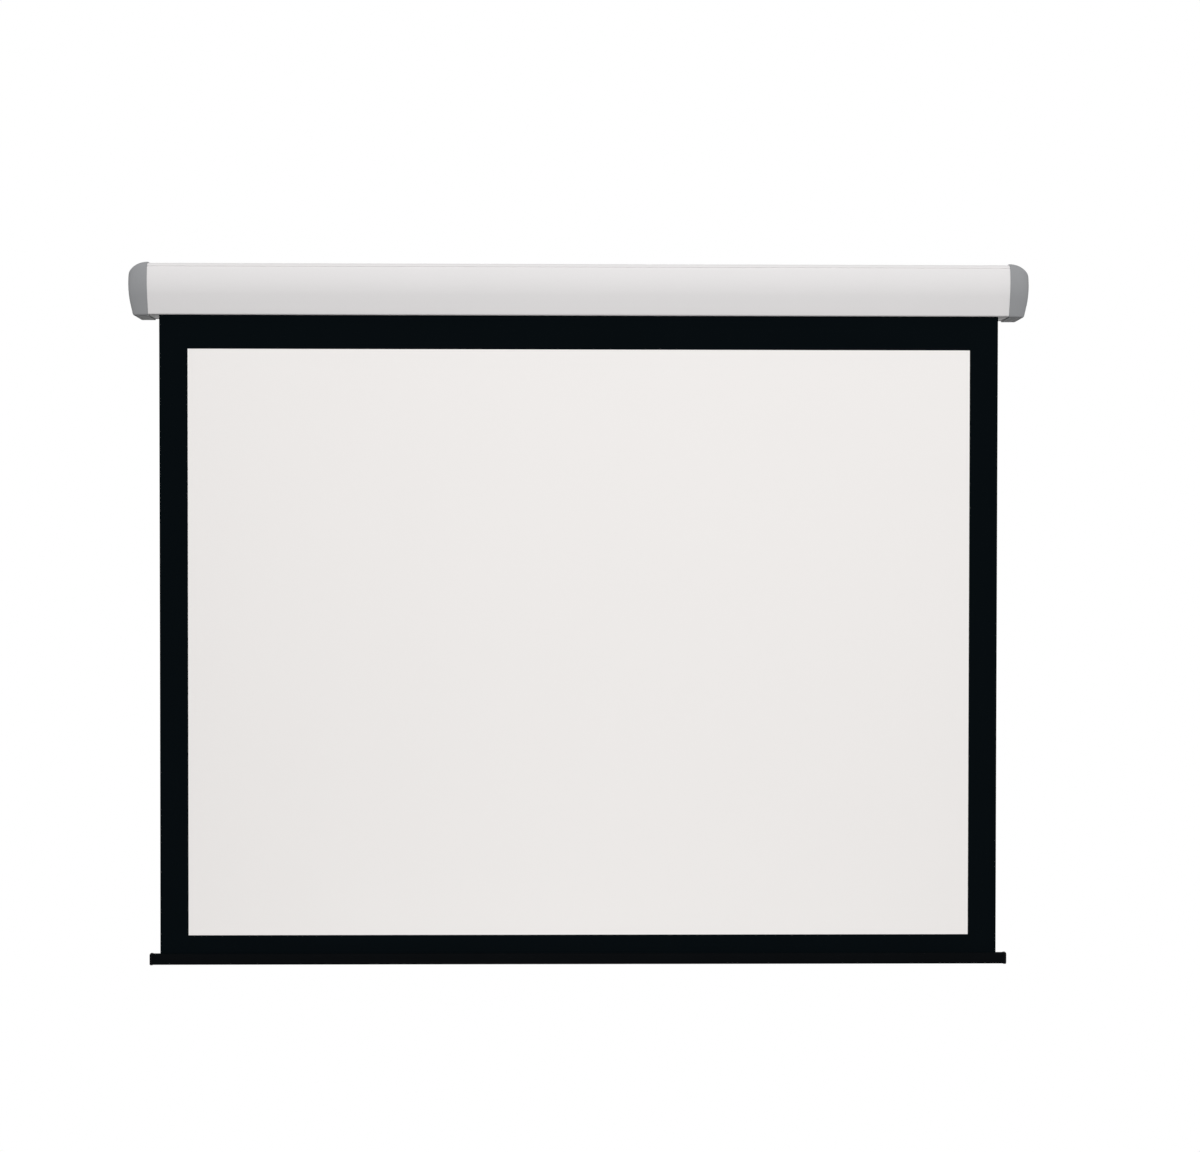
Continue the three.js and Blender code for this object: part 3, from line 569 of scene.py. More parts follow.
def hold(piece: bpy.types.Object, body: str, slot: str, *nodes: str) -> bpy.types.Object:
    """Lets a piece ride on a body and stand for its CAD nodes, which are hidden.

    Args:
        piece: The piece, in place.
        body: The body that carries it.
        slot: The record's material slot; not used.
        *nodes: The CAD nodes that it replaces.

    Returns:
        The piece.
    """
    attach(piece, body)
    if nodes:
        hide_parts(*nodes)
    return piece


class Joining(Enum):
    """The ways in which a second mesh changes the first; each value is the modifier's own word."""

    ADDED = "UNION"
    CUT_AWAY = "DIFFERENCE"


def combine(piece: bmesh.types.BMesh, tool: bmesh.types.BMesh, way: Joining) -> bmesh.types.BMesh:
    """Joins or cuts two closed meshes.

    Args:
        piece: The mesh that is kept, which is freed.
        tool: The mesh that is joined or cut away, which is freed.
        way: What happens to the tool.

    Returns:
        The new mesh.
    """
    made = [add_mesh(f"joining_{number}", bm) for number, bm in enumerate((piece, tool))]
    modifier = made[0].modifiers.new("joining", "BOOLEAN")
    modifier.operation, modifier.solver, modifier.object = way.value, "EXACT", made[1]
    joined = bmesh.new()
    joined.from_object(made[0], bpy.context.evaluated_depsgraph_get())
    for item in made:
        mesh = item.data
        bpy.data.objects.remove(item)
        bpy.data.meshes.remove(mesh)
    return joined


def refined(node: str, bevel_mm: float) -> bmesh.types.BMesh:
    """Copies a CAD node's mesh, cleans its flat faces and rounds its sharp edges a little.

    Args:
        node: The CAD node's name.
        bevel_mm: Width of the rounding, in mm.

    Returns:
        The refined mesh in mm.
    """
    bm = bmesh.new()
    bm.from_mesh(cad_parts[node].data)
    bm.transform(Matrix.Diagonal((1 / MM, 1 / MM, 1 / MM, 1)))
    for layer in list(bm.loops.layers.uv):
        bm.loops.layers.uv.remove(layer)
    bmesh.ops.remove_doubles(bm, verts=bm.verts, dist=NODE_WELD)
    bmesh.ops.dissolve_limit(bm, angle_limit=NODE_FLAT, verts=bm.verts, edges=bm.edges)
    sharp = [e for e in bm.edges if len(e.link_faces) == 2 and e.calc_face_angle(0) > SMOOTH_BELOW]
    if bevel_mm:
        bmesh.ops.bevel(bm, geom=sharp, offset=bevel_mm, segments=BEVEL_FACETS, affect="EDGES",
                        profile=BEVEL_PROFILE, clamp_overlap=True)
    return bm


def dressed(node: str, body: str, finish: Finish, slot: str, bevel_mm: float = 0) -> bpy.types.Object:
    """Makes the piece that stands for a CAD node and keeps that node's shape.

    Args:
        node: The CAD node's name.
        body: The body that carries it.
        finish: The piece's finish.
        slot: The record's material slot.
        bevel_mm: Width of the rounding of its sharp edges, in mm.

    Returns:
        The piece.
    """
    return hold(make_object(f"{node}_finished", refined(node, bevel_mm), finish), body, slot, node)


def round_over(radius: float, steps: int) -> list[Point]:
    """Gives a quarter round's points: how far short of the end and how far in from the side, in mm."""
    angles = [math.pi / 2 * k / steps for k in range(steps + 1)]
    return [(radius * (1 - math.sin(a)), radius * (1 - math.cos(a))) for a in angles]


@dataclass(frozen=True)
class Plan:
    """Sizes in mm that sub-assemblies share: the CAD model's own, but with more steps to a rounding."""

    picture_width: float = 1440
    picture_height: float = 1080
    picture_top: float = -109
    sheet_width: float = 1544
    sheet_top: float = -0.3
    sheet_thickness: float = 0.45
    sheet_depth: float = 71.4625
    half_case: float = 791
    case_foot: float = -48.2
    front_foot: tuple[float, float] = (77, 1.2)
    front_foot_rounding: float = 4
    bulge_depth: float = 93.5
    bulge_height: float = 12
    bulge_rounding: float = 100
    top_depth: float = 85.5
    case_top: float = 47.5
    top_rounding: float = 13
    back_rounding: float = 1.5
    recess_depth: float = 3.3
    recess_foot: float = 12
    recess_rounding: float = 0.6
    round_steps: int = 8
    roller_depth: float = 45
    bar_top: float = -1223
    bar_height: float = 20
    travel: float = 1168

    def outline(self) -> list[Corner]:
        """Gives the case's outline.

        Returns:
            Its corners, anticlockwise from the foot of the back; broad roundings have more steps.
        """
        steps, (foot_depth, foot_rise) = self.round_steps, self.front_foot
        return [
            Corner(0, self.case_foot, self.back_rounding, steps),
            Corner(foot_depth, self.case_foot + foot_rise, self.front_foot_rounding, steps),
            Corner(self.bulge_depth, self.bulge_height, self.bulge_rounding, 6 * steps),
            Corner(self.top_depth, self.case_top, self.top_rounding, 3 * steps),
            Corner(self.recess_depth, self.case_top, self.back_rounding, steps),
            Corner(self.recess_depth, self.recess_foot),
            Corner(0, self.recess_foot, self.recess_rounding, steps // 4)]


PLAN = Plan()


def front_depth(outline: list[Point], height: float) -> float:
    """Finds how deep an outline's front is at a height.

    Args:
        outline: The outline's points in mm.
        height: The height in mm.

    Returns:
        The greatest depth in mm.
    """
    found = []
    for (d1, h1), (d2, h2) in zip(outline, [*outline[1:], outline[0]]):
        if (h1 - height) * (h2 - height) <= 0 and h1 != h2:
            found.append(d1 + (d2 - d1) * (height - h1) / (h2 - h1))
    return max(found)


@dataclass
class Case:
    """The long extruded case, with its cloth slot, screw ports, trim groove and T groove; sizes in mm."""

    plan: Plan = PLAN
    wall: float = 1.8
    slot_clear_front: float = 2.6
    slot_clear_back: float = 4.4
    lip_rise: float = 5
    lip: float = 1.4
    port: float = 4
    port_bore: float = 2.1
    port_bore_steps: int = 32
    port_slit: tuple[float, float] = (5, 1.6)
    port_inset: float = 3.2
    port_foot_inset: float = 4.4
    port_from_slot: float = 5
    groove_height: float = 40
    groove_width: float = 2
    groove_depth: float = 1.8
    groove_wall: float = 1.5
    rail_height: float = 30
    rail_neck: float = 6.4
    rail_mouth: float = 1.8
    rail_head: tuple[float, float] = (4.4, 13)
    rail_wall: float = 1.6

    def section(self) -> Section:
        """Draws the extrusion's section.

        Returns:
            The section, with every chamber, lip and groove.
        """
        corners = self.plan.outline()
        inner = inset(corners, [self.wall] * len(corners))
        outer = rounded(corners)
        section = Section().add(outer).cut(rounded(inner))
        recess, (head_depth, head_height) = self.plan.recess_depth, self.rail_head
        rail_back = recess + self.rail_mouth + head_depth + self.rail_wall
        section.add(rectangle((recess + rail_back) / 2, self.rail_height, rail_back - recess,
                              head_height + 2 * self.rail_wall))
        front = self.plan.sheet_depth + self.slot_clear_front
        back = self.plan.sheet_depth - self.slot_clear_back
        foot = self.plan.case_foot
        top = foot + self.plan.front_foot[1] + self.wall + self.lip_rise
        for depth in (front + self.lip / 2, back - self.lip / 2):
            section.add_within_first(rectangle(depth, (foot + top) / 2, self.lip, top - foot))
        ports = self.ports(inner, back)
        for depth, height, _ in ports:
            section.add_within_first(circle(depth, height, self.port))
        long, wide = self.port_slit
        for depth, height, way in ports:
            slit = [Matrix.Rotation(way, 2) @ Vector((x, y)) for x, y in rectangle(long / 2, 0, long, wide)]
            section.cut(circle(depth, height, self.port_bore, self.port_bore_steps))
            section.cut([(depth + p.x, height + p.y) for p in slit])
        section.cut(rectangle((front + back) / 2, (foot + top) / 2, front - back, top - foot + 2 * CUT_OVER))
        section.cut(rectangle(recess, self.rail_height, 2 * self.rail_mouth + CUT_OVER, self.rail_neck))
        head = recess + self.rail_mouth + head_depth / 2
        section.cut(rectangle(head, self.rail_height, head_depth, head_height))
        groove = front_depth(outer, self.groove_height)
        thick = self.groove_depth + self.groove_wall
        section.add_within_first(rectangle(groove - thick / 2, self.groove_height, thick,
                                           self.groove_width + 2 * self.groove_wall))
        return section.cut(rectangle(groove, self.groove_height, 2 * self.groove_depth, self.groove_width))

    def ports(self, inner: list[Corner], slot_back: float) -> list[tuple[float, float, float]]:
        """Places the screw ports.

        Args:
            inner: Corners of the case's inside.
            slot_back: Depth of the slot's back edge.

        Returns:
            Depth, height and the way that each port's slit faces.
        """
        below = slot_back - self.port - self.port_from_slot
        foot_depth, foot_rise = self.plan.front_foot
        floor = self.plan.case_foot + foot_rise * below / foot_depth
        foot, front, top, set_in = inner[0], inner[3], inner[4], self.port_inset
        return [(foot.depth + self.port_foot_inset, foot.height + set_in, math.pi / 4),
                (below, floor + self.wall + set_in, math.pi / 2),
                (front.depth - self.port - set_in, front.height - set_in, -math.pi / 2),
                (top.depth + set_in, top.height - set_in, -math.pi / 4)]

    def build(self) -> list[bpy.types.Object]:
        """Makes the case.

        Returns:
            The one piece that stands for the CAD extrusion.
        """
        half = self.plan.half_case
        bm = self.section().prism(-half, half)
        return [hold(make_object("case_shell", bm, POWDER_COAT), "case", "case_paint", "case_extrusion")]


@dataclass
class EndCaps:
    """The two moulded ends: hollow domes that overlap the case's outline; sizes in mm."""

    plan: Plan = PLAN
    grow: float = 2
    reach: float = 35
    rim_land: float = 1.2
    wall: float = 2.2
    rounds: tuple[float, ...] = (3.5, 5, 12, 27, 0)
    start_shares: tuple[float, ...] = (0.88, 0, 0, 0, 0)
    foot_draw_in: float = 7
    top_draw_in: float = 1
    ring_steps: int = 24
    end_shares: tuple[float, ...] = (0.86, 0.7, 0.52, 0.34, 0.16, 0.04)
    tongue: tuple[float, float, float] = (10, 1.8, 30)
    tongue_depth: float = 40
    tongue_pass: float = 3
    tongue_root_share: float = 0.8
    barb: float = 0.9
    barb_gap: float = 0.3
    boss: tuple[float, float] = (6.4, 9)
    boss_steps: int = 64
    bushing_inset: float = 9
    bushing_depth: float = 20
    bushing_bore: float = 3.75
    weld: float = 0.004

    def reach_at(self, height: float, reach: float) -> float:
        """Tells how far the dome reaches out at a height: most at the bulge, least at the foot.

        Args:
            height: The height.
            reach: The reach at the bulge.

        Returns:
            The reach at that height.
        """
        bulge = self.plan.bulge_height
        below = height < bulge
        span = bulge - self.plan.case_foot if below else self.plan.case_top - bulge
        return reach - (self.foot_draw_in if below else self.top_draw_in) * ((height - bulge) / span) ** 2

    def draw_in(self, rounding: float, start_share: float, reached: float) -> float:
        """Tells how far an edge is drawn in, along a quarter ellipse that starts at a share of the reach.

        Args:
            rounding: How far the edge is drawn in at the end.
            start_share: The share of the reach at which that starts.
            reached: The share of the reach.

        Returns:
            The distance in mm.
        """
        share = min(max((reached - start_share) / (1 - start_share), 0), 1)
        return rounding * (1 - math.sqrt(1 - share * share))

    def dome(self, grow: float, reach: float, least_depth: float) -> list[list[Vector]]:
        """Draws one skin of the dome.

        Args:
            grow: How far it stands outside the case's outline.
            reach: How far it reaches out past its rim's land.
            least_depth: How far in front of the wall its back lies.

        Returns:
            Rings from the rim to the middle of the end, in mm.
        """
        corners = [Corner(0 if c.depth == self.plan.recess_depth else c.depth, c.height, c.radius, c.steps)
                   for c in self.plan.outline()[:len(self.rounds)]]
        rim = inset(corners, [-grow if r else 0 for r in self.rounds])
        rings = []
        for k in range(self.ring_steps + 1):
            reached = math.sin(math.pi / 2 * k / self.ring_steps)
            pulls = [self.draw_in(*pair, reached) for pair in zip(self.rounds, self.start_shares)]
            rings.append([Vector((self.rim_land + self.reach_at(h, reach) * reached,
                                  -max(d, least_depth), h)) for d, h in rounded(inset(rim, pulls))])
        rings.insert(0, [Vector((0, p.y, p.z)) for p in rings[0]])
        last = rings[-1]
        middle = sum(last, Vector()) / len(last)
        for share in self.end_shares:
            ring = [middle.lerp(p, share) for p in last]
            rings.append([Vector((self.rim_land + self.reach_at(p.z, reach), p.y, p.z)) for p in ring])
        return rings

    def build(self) -> list[bpy.types.Object]:
        """Makes both ends, the left one with its seat for the lead's bushing."""
        return [self._one(name, side) for name, side in SIDES.items()]

    def _one(self, name: str, side: int) -> bpy.types.Object:
        """Makes the end on one side.

        Args:
            name: left or right.
            side: -1 or 1.

        Returns:
            The moulded end.
        """
        outer = self.dome(self.grow, self.reach - self.rim_land, 0)
        inner = self.dome(self.grow - self.wall, self.reach - self.rim_land - self.wall, self.wall)
        bm = lofted([*outer[::-1], *inner])
        across, thick, height = self.tongue
        for sign in (-1, 1):
            stem = rectangle(self.tongue_depth, sign * height, across, thick)
            root = self.reach_at(sign * height, self.reach) - self.tongue_root_share * self.wall
            bm = combine(bm, Section().add(stem).prism(-self.tongue_pass, root), Joining.ADDED)
            hook = rectangle(self.tongue_depth, sign * (height - self.barb), across, 2 * self.barb)
            bm = combine(bm, Section().add(hook).prism(-self.tongue_pass, -self.barb_gap), Joining.ADDED)
        if side < 0:
            top = self.plan.case_top + self.grow
            radius, tall = self.boss
            bm = combine(bm, self._post(radius, top - tall, top), Joining.ADDED)
            bore = self._post(self.bushing_bore, top - tall - CUT_OVER, top + CUT_OVER)
            bm = combine(bm, bore, Joining.CUT_AWAY)
        bmesh.ops.remove_doubles(bm, verts=bm.verts, dist=self.weld)
        bmesh.ops.dissolve_degenerate(bm, dist=self.weld, edges=bm.edges)
        place_on_side(bm, side, Vector((side * self.plan.half_case, 0, 0)))
        piece = make_object(f"moulded_end_{name}", bm, MOULDED_ABS)
        return hold(piece, "case", "cap_plastic", f"end_cap_{name}")

    def _post(self, radius: float, foot: float, top: float) -> bmesh.types.BMesh:
        """Makes an upright round post at the bushing's place, in mm."""
        spots = circle(self.bushing_inset, -self.bushing_depth, radius, self.boss_steps)
        return lofted([[Vector((x, y, z)) for x, y in spots] for z in (foot, top)])


@dataclass
class Hardware:
    """Brackets, end plates and screws, which keep their CAD places; sizes in mm."""

    bracket_bevel: float = 0.5
    screw_bevel: float = 0.3
    plate_bevel: float = 0.25
    plate_screws: int = 4
    shank: float = 1.9
    tip: float = 1.2
    head_height: float = 2.6
    head_rounding: float = 1.3
    rounding_steps: int = 6
    cross: tuple[float, float, float] = (3.4, 1.1, 1.2)
    fineness: int = 40

    def build(self) -> list[bpy.types.Object]:
        """Makes the brackets, plates and screws with softened edges.

        Returns:
            The pieces of the left side, then those of the right.
        """
        made = []
        for side, sign in SIDES.items():
            bracket = f"bracket_{side}"
            made += [
                dressed(f"wall_bracket_{side}", bracket, ZINC_PLATE, "zinc_steel", self.bracket_bevel),
                dressed(f"bracket_screw_{side}", bracket, BRIGHT_STEEL, "bright_steel", self.screw_bevel),
                dressed(f"end_plate_{side}", "case", ZINC_PLATE, "zinc_steel", self.plate_bevel)]
            for number in range(1, self.plate_screws + 1):
                node = f"plate_screw_{number}_{side}"
                piece = make_object(f"{node}_finished", self._plate_screw(node, sign), BRIGHT_STEEL)
                made.append(hold(piece, "case", "bright_steel", node))
        return made

    def _plate_screw(self, node: str, side: int) -> bmesh.types.BMesh:
        """Makes a pan headed screw with a crossed recess, on its CAD node's axis.

        Args:
            node: The CAD node that gives its place, its length and its head's width.
            side: -1 or 1, the way that its head faces.

        Returns:
            The screw in mm.
        """
        low, high = (Vector(corner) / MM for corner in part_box(node))
        long, head = high.x - low.x, (high.y - low.y) / 2
        neck = long - self.head_height
        rows = [(0, self.tip), (self.shank - self.tip, self.shank), (neck, self.shank), (neck, head)]
        rows += [(long - short, head - inward)
                 for short, inward in round_over(self.head_rounding, self.rounding_steps)]
        bm = lofted([[Vector((x, y, z)) for y, z in circle(0, 0, radius, self.fineness)]
                     for x, radius in rows])
        across, wide, deep = self.cross
        recess = Section().add(rectangle(0, 0, across, wide)).add(rectangle(0, 0, wide, across))
        bm = combine(bm, recess.prism(long - deep, long + deep), Joining.CUT_AWAY)
        place = Vector((low.x if side > 0 else high.x, (low.y + high.y) / 2, (low.z + high.z) / 2))
        place_on_side(bm, side, place)
        return bm


@dataclass
class RollerSet:
    """The roller with its motor, idler and the turns of cloth that stay on it; sizes in mm."""

    plan: Plan = PLAN
    wrap_start: float = 25.3
    turn_pitch: float = 0.75
    turns: float = 1.25
    turn_steps: int = 160
    small_bevel: float = 0.3
    bevelled: tuple[str, ...] = ("motor_head", "cable_bushing", "motor_tube")
    backing_below: float = -0.5
    parts: tuple[tuple[str, str, Finish, str], ...] = (
        ("motor_head", "case", FILLED_NYLON, "dark_plastic"),
        ("motor_clip", "case", BRIGHT_STEEL, "bright_steel"),
        ("motor_tube", "case", BRIGHT_STEEL, "bright_steel"),
        ("cable_bushing", "case", MOULDED_NYLON, "dark_plastic"),
        ("idler_pin", "case", BRIGHT_STEEL, "bright_steel"),
        ("limit_adjuster_up", "adjuster_up", ACETAL_WHITE, "white_plastic"),
        ("limit_adjuster_down", "adjuster_down", ACETAL_YELLOW, "yellow_plastic"),
        ("output_shaft", "roller", BRIGHT_STEEL, "bright_steel"),
        ("drive_wheel", "roller", FILLED_NYLON, "dark_plastic"),
        ("motor_crown", "roller", FILLED_NYLON, "dark_plastic"),
        ("roller_tube", "roller", GALVANISED, "zinc_steel"),
        ("key_rod", "roller", ACETAL_WHITE, "white_plastic"),
        ("idler_plug", "roller", FILLED_NYLON, "dark_plastic"),
        ("idler_bush", "roller", ACETAL_WHITE, "white_plastic"))

    def build(self) -> list[bpy.types.Object]:
        """Makes the drive's parts and the wound cloth.

        Returns:
            The parts in the order of their table, then the cloth.
        """
        made = [dressed(node, body, finish, slot, self.small_bevel if node in self.bevelled else 0)
                for node, body, finish, slot in self.parts]
        return [*made, self._turns()]

    def _spiral(self, grow: float) -> list[Point]:
        """Draws one face of the wound cloth.

        Args:
            grow: How far it lies outside the cloth's inner face.

        Returns:
            Depths and heights, from the inner end of the cloth to the outer.
        """
        spots = []
        for k in range(self.turn_steps + 1):
            share = k / self.turn_steps
            angle = 2 * math.pi * self.turns * (1 - share)
            radius = self.wrap_start + self.turn_pitch * self.turns * share + grow
            spots.append((self.plan.roller_depth + radius * math.cos(angle), radius * math.sin(angle)))
        return spots

    def _turns(self) -> bpy.types.Object:
        """Makes the spiral of cloth, which ends at the front where the sheet drops.

        Returns:
            The wound cloth, white outside and black inside.
        """
        half = self.plan.sheet_width / 2
        outer, inner = self._spiral(self.plan.sheet_thickness), self._spiral(0)
        rings = [[Vector((x, -d, h)) for d, h in (a, b) for x in (-half, half)]
                 for a, b in zip(outer, inner)]
        bm = lofted([[ring[0], ring[1], ring[3], ring[2]] for ring in rings])
        axis = Vector((0, -self.plan.roller_depth, 0))
        for face in bm.faces:
            middle = face.calc_center_median() - axis
            outward = Vector((0, middle.y, middle.z)).normalized().dot(face.normal)
            face.material_index = 1 if outward < self.backing_below else 0
        piece = make_object("wound_cloth", bm, COATED_PVC, PVC_BACKING)
        return hold(piece, "roller", "screen_vinyl", "cloth_turns")


@dataclass
class MotorLead:
    """The motor's lead inside the left end, from the end plate up to the bushing; sizes in mm."""

    plan: Plan = PLAN
    radius: float = 2.5
    start: tuple[float, float] = (26.5, 16)
    end: tuple[float, float] = (20, 40.2)
    plate_gap: float = 0.3
    bushing_inset: float = 9
    steps: int = 12
    fineness: int = 24

    def route(self) -> list[Vector]:
        """Gives the points of the lead's middle line, through the same four marks as the CAD's.

        Returns:
            The points in mm, evenly stepped between each two marks.
        """
        (depth, height), (last_depth, last_height) = self.start, self.end
        x = -self.plan.half_case - self.bushing_inset
        marks = [Vector((-self.plan.half_case - self.plate_gap, -depth, height)),
                 Vector((x, -depth, height + self.radius)),
                 Vector((x - self.radius, -(depth + last_depth) / 2, (height + last_height) / 2)),
                 Vector((x, -last_depth, last_height))]
        ends = [2 * marks[0] - marks[1], *marks, 2 * marks[-1] - marks[-2]]
        line = [marks[0]]
        for before, first, second, after in zip(ends, ends[1:], ends[2:], ends[3:]):
            stretches = ((before, first), (first, second), (second, after))
            g0, g1, g2 = (math.sqrt((b - a).length) for a, b in stretches)
            leave = ((first - before) / g0 - (second - before) / (g0 + g1) + (second - first) / g1) * g1
            arrive = ((second - first) / g1 - (after - first) / (g1 + g2) + (after - second) / g2) * g1
            for k in range(1, self.steps + 1):
                t = k / self.steps
                line.append(first * (2 * t ** 3 - 3 * t ** 2 + 1) + leave * (t ** 3 - 2 * t ** 2 + t)
                            + second * (3 * t ** 2 - 2 * t ** 3) + arrive * (t ** 3 - t ** 2))
        return line

    def build(self) -> list[bpy.types.Object]:
        """Makes the lead as a round tube, its rings square to its route.

        Returns:
            The lead alone.
        """
        line = self.route()
        along = (line[1] - line[0]).normalized()
        across = along.orthogonal().normalized()
        rings = []
        for i, point in enumerate(line):
            onward = (line[min(i + 1, len(line) - 1)] - line[max(i - 1, 0)]).normalized()
            across.rotate(along.rotation_difference(onward))
            along, third = onward, onward.cross(across)
            rings.append([point + across * y + third * z
                          for y, z in circle(0, 0, self.radius, self.fineness)])
        lead = make_object("motor_lead_finished", lofted(rings), LEAD_SHEATH)
        return [hold(lead, "case", "lead_rubber", "motor_lead")]


@dataclass
class HangingCloth:
    """The sheet below the roller and the border printed round its picture; sizes in mm."""

    plan: Plan = PLAN
    side_cells: int = 3
    picture_cells: int = 60
    top_cells: int = 6
    foot_cells: tuple[int, int] = (3, 1)
    ripple: float = 0.5
    ripple_length: float = 430
    ripple_start: float = 1.1
    small_ripple_share: float = 0.4
    small_ripple_length: float = 187
    small_ripple_lean: float = 2.0
    slackness: float = 0.7
    edge_curl: float = 0.9
    edge_width: float = 90
    ink: float = 0.12
    ink_lift: float = 0.03
    above_bar: float = 0.3
    into_bar: float = 2.9
    gather_height: float = -7

    def _steps(self, marks: Sequence[float], cells: Sequence[int]) -> list[float]:
        """Divides each stretch between marks into even cells.

        Args:
            marks: The places where a stretch ends.
            cells: The number of cells of each stretch.

        Returns:
            The places of all lines.
        """
        spots = [marks[0]]
        for start, end, count in zip(marks, marks[1:], cells):
            spots += [start + (end - start) * (k + 1) / count for k in range(count)]
        return spots

    def drift(self, x: float, z: float) -> float:
        """Tells how far the cloth strays to the back at a place: soft upright ripples and curled side edges.

        Args:
            x: Place across the sheet.
            z: Height.

        Returns:
            The distance, 0 where the roller and the bar hold the cloth.
        """
        top, foot = self.plan.sheet_top, self.plan.bar_top
        share = min(max((z - top) / (foot - top), 0), 1)
        free = math.sin(math.pi * share) ** self.slackness
        broad = math.sin(2 * math.pi * x / self.ripple_length + self.ripple_start)
        small = math.sin(2 * math.pi * x / self.small_ripple_length + self.small_ripple_lean * share)
        off_edge = max(abs(x) - self.plan.sheet_width / 2 + self.edge_width, 0) / self.edge_width
        ripples = self.ripple * (broad + self.small_ripple_share * small)
        return free * (ripples + self.edge_curl * off_edge ** 2)

    def _slab(self, columns: list[float], rows: list[float], near: float, far: float,
              leave: Callable[[float, float], bool]) -> bmesh.types.BMesh:
        """Makes a thin slab that follows the cloth's drift.

        Args:
            columns: X of the grid's lines.
            rows: Heights of the grid's lines, from the top.
            near: Depth of the front face.
            far: Depth of the back face.
            leave: Tells by a cell's middle if it stays open.

        Returns:
            A closed mesh; front faces have material 0, the back ones 1.
        """
        bm = bmesh.new()
        made: dict[tuple[int, int, int], bmesh.types.BMVert] = {}

        def at(i: int, j: int, layer: int) -> bmesh.types.BMVert:
            """Finds or makes a point of the grid.

            Args:
                i: Number of its column.
                j: Number of its row.
                layer: 0 for the front face, 1 for the back.

            Returns:
                The point.
            """
            if (i, j, layer) not in made:
                depth = (near, far)[layer] - self.drift(columns[i], rows[j])
                made[i, j, layer] = bm.verts.new((columns[i], -depth, rows[j]))
            return made[i, j, layer]

        cells = {(i, j) for i in range(len(columns) - 1) for j in range(len(rows) - 1)
                 if not leave((columns[i] + columns[i + 1]) / 2, (rows[j] + rows[j + 1]) / 2)}
        for i, j in cells:
            corners = ((i, j), (i, j + 1), (i + 1, j + 1), (i + 1, j))
            bm.faces.new([at(a, b, 0) for a, b in corners])
            bm.faces.new([at(a, b, 1) for a, b in reversed(corners)]).material_index = 1
            ways = ((i - 1, j), (i, j + 1), (i + 1, j), (i, j - 1))
            for number, way in enumerate(ways):
                if way not in cells:
                    (a, b), (c, d) = corners[number], corners[(number + 1) % 4]
                    bm.faces.new((at(a, b, 0), at(a, b, 1), at(c, d, 1), at(c, d, 0)))
        bmesh.ops.recalc_face_normals(bm, faces=bm.faces)
        return bm

    def build(self) -> list[bpy.types.Object]:
        """Makes the cloth and its printed border, split at the picture's foot.

        What is above stays with the case, and what is below rides with the bar.

        Returns:
            The cloth and the border above, then those below.
        """
        plan = self.plan
        half, side = plan.picture_width / 2, plan.sheet_width / 2
        split = plan.picture_top - plan.picture_height
        foot, hem = plan.bar_top + self.above_bar, plan.bar_top - self.into_bar
        columns = self._steps((-side, -half, half, side),
                              (self.side_cells, self.picture_cells, self.side_cells))
        above = self._steps((plan.sheet_top, plan.picture_top, split), (self.top_cells, self.picture_cells))
        below = self._steps((split, foot, hem), self.foot_cells)
        near = plan.sheet_depth + plan.sheet_thickness / 2
        lifted = near + self.ink_lift
        pieces = []
        for name, rows, body in (("picture", above, "case"), ("hem", below, "bar")):
            slab = self._slab(columns, rows, near, near - plan.sheet_thickness, lambda x, z: False)
            cloth = make_object(f"{name}_cloth", slab, COATED_PVC, PVC_BACKING)
            slab = self._slab(columns, rows, lifted + self.ink, lifted,
                              lambda x, z: abs(x) < half and split < z < plan.picture_top)
            ink = make_object(f"{name}_border", slab, PRINTED_INK, PRINTED_INK)
            on_case = body == "case"
            hold(cloth, body, "screen_vinyl", *(["screen_sheet"] if on_case else []))
            hold(ink, body, "mask_black", *(["mask_border"] if on_case else []))
            pieces += [cloth, ink]
        # The two upper pieces get meshes of their own
        for piece in pieces[:2]:
            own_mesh(piece)
        return pieces


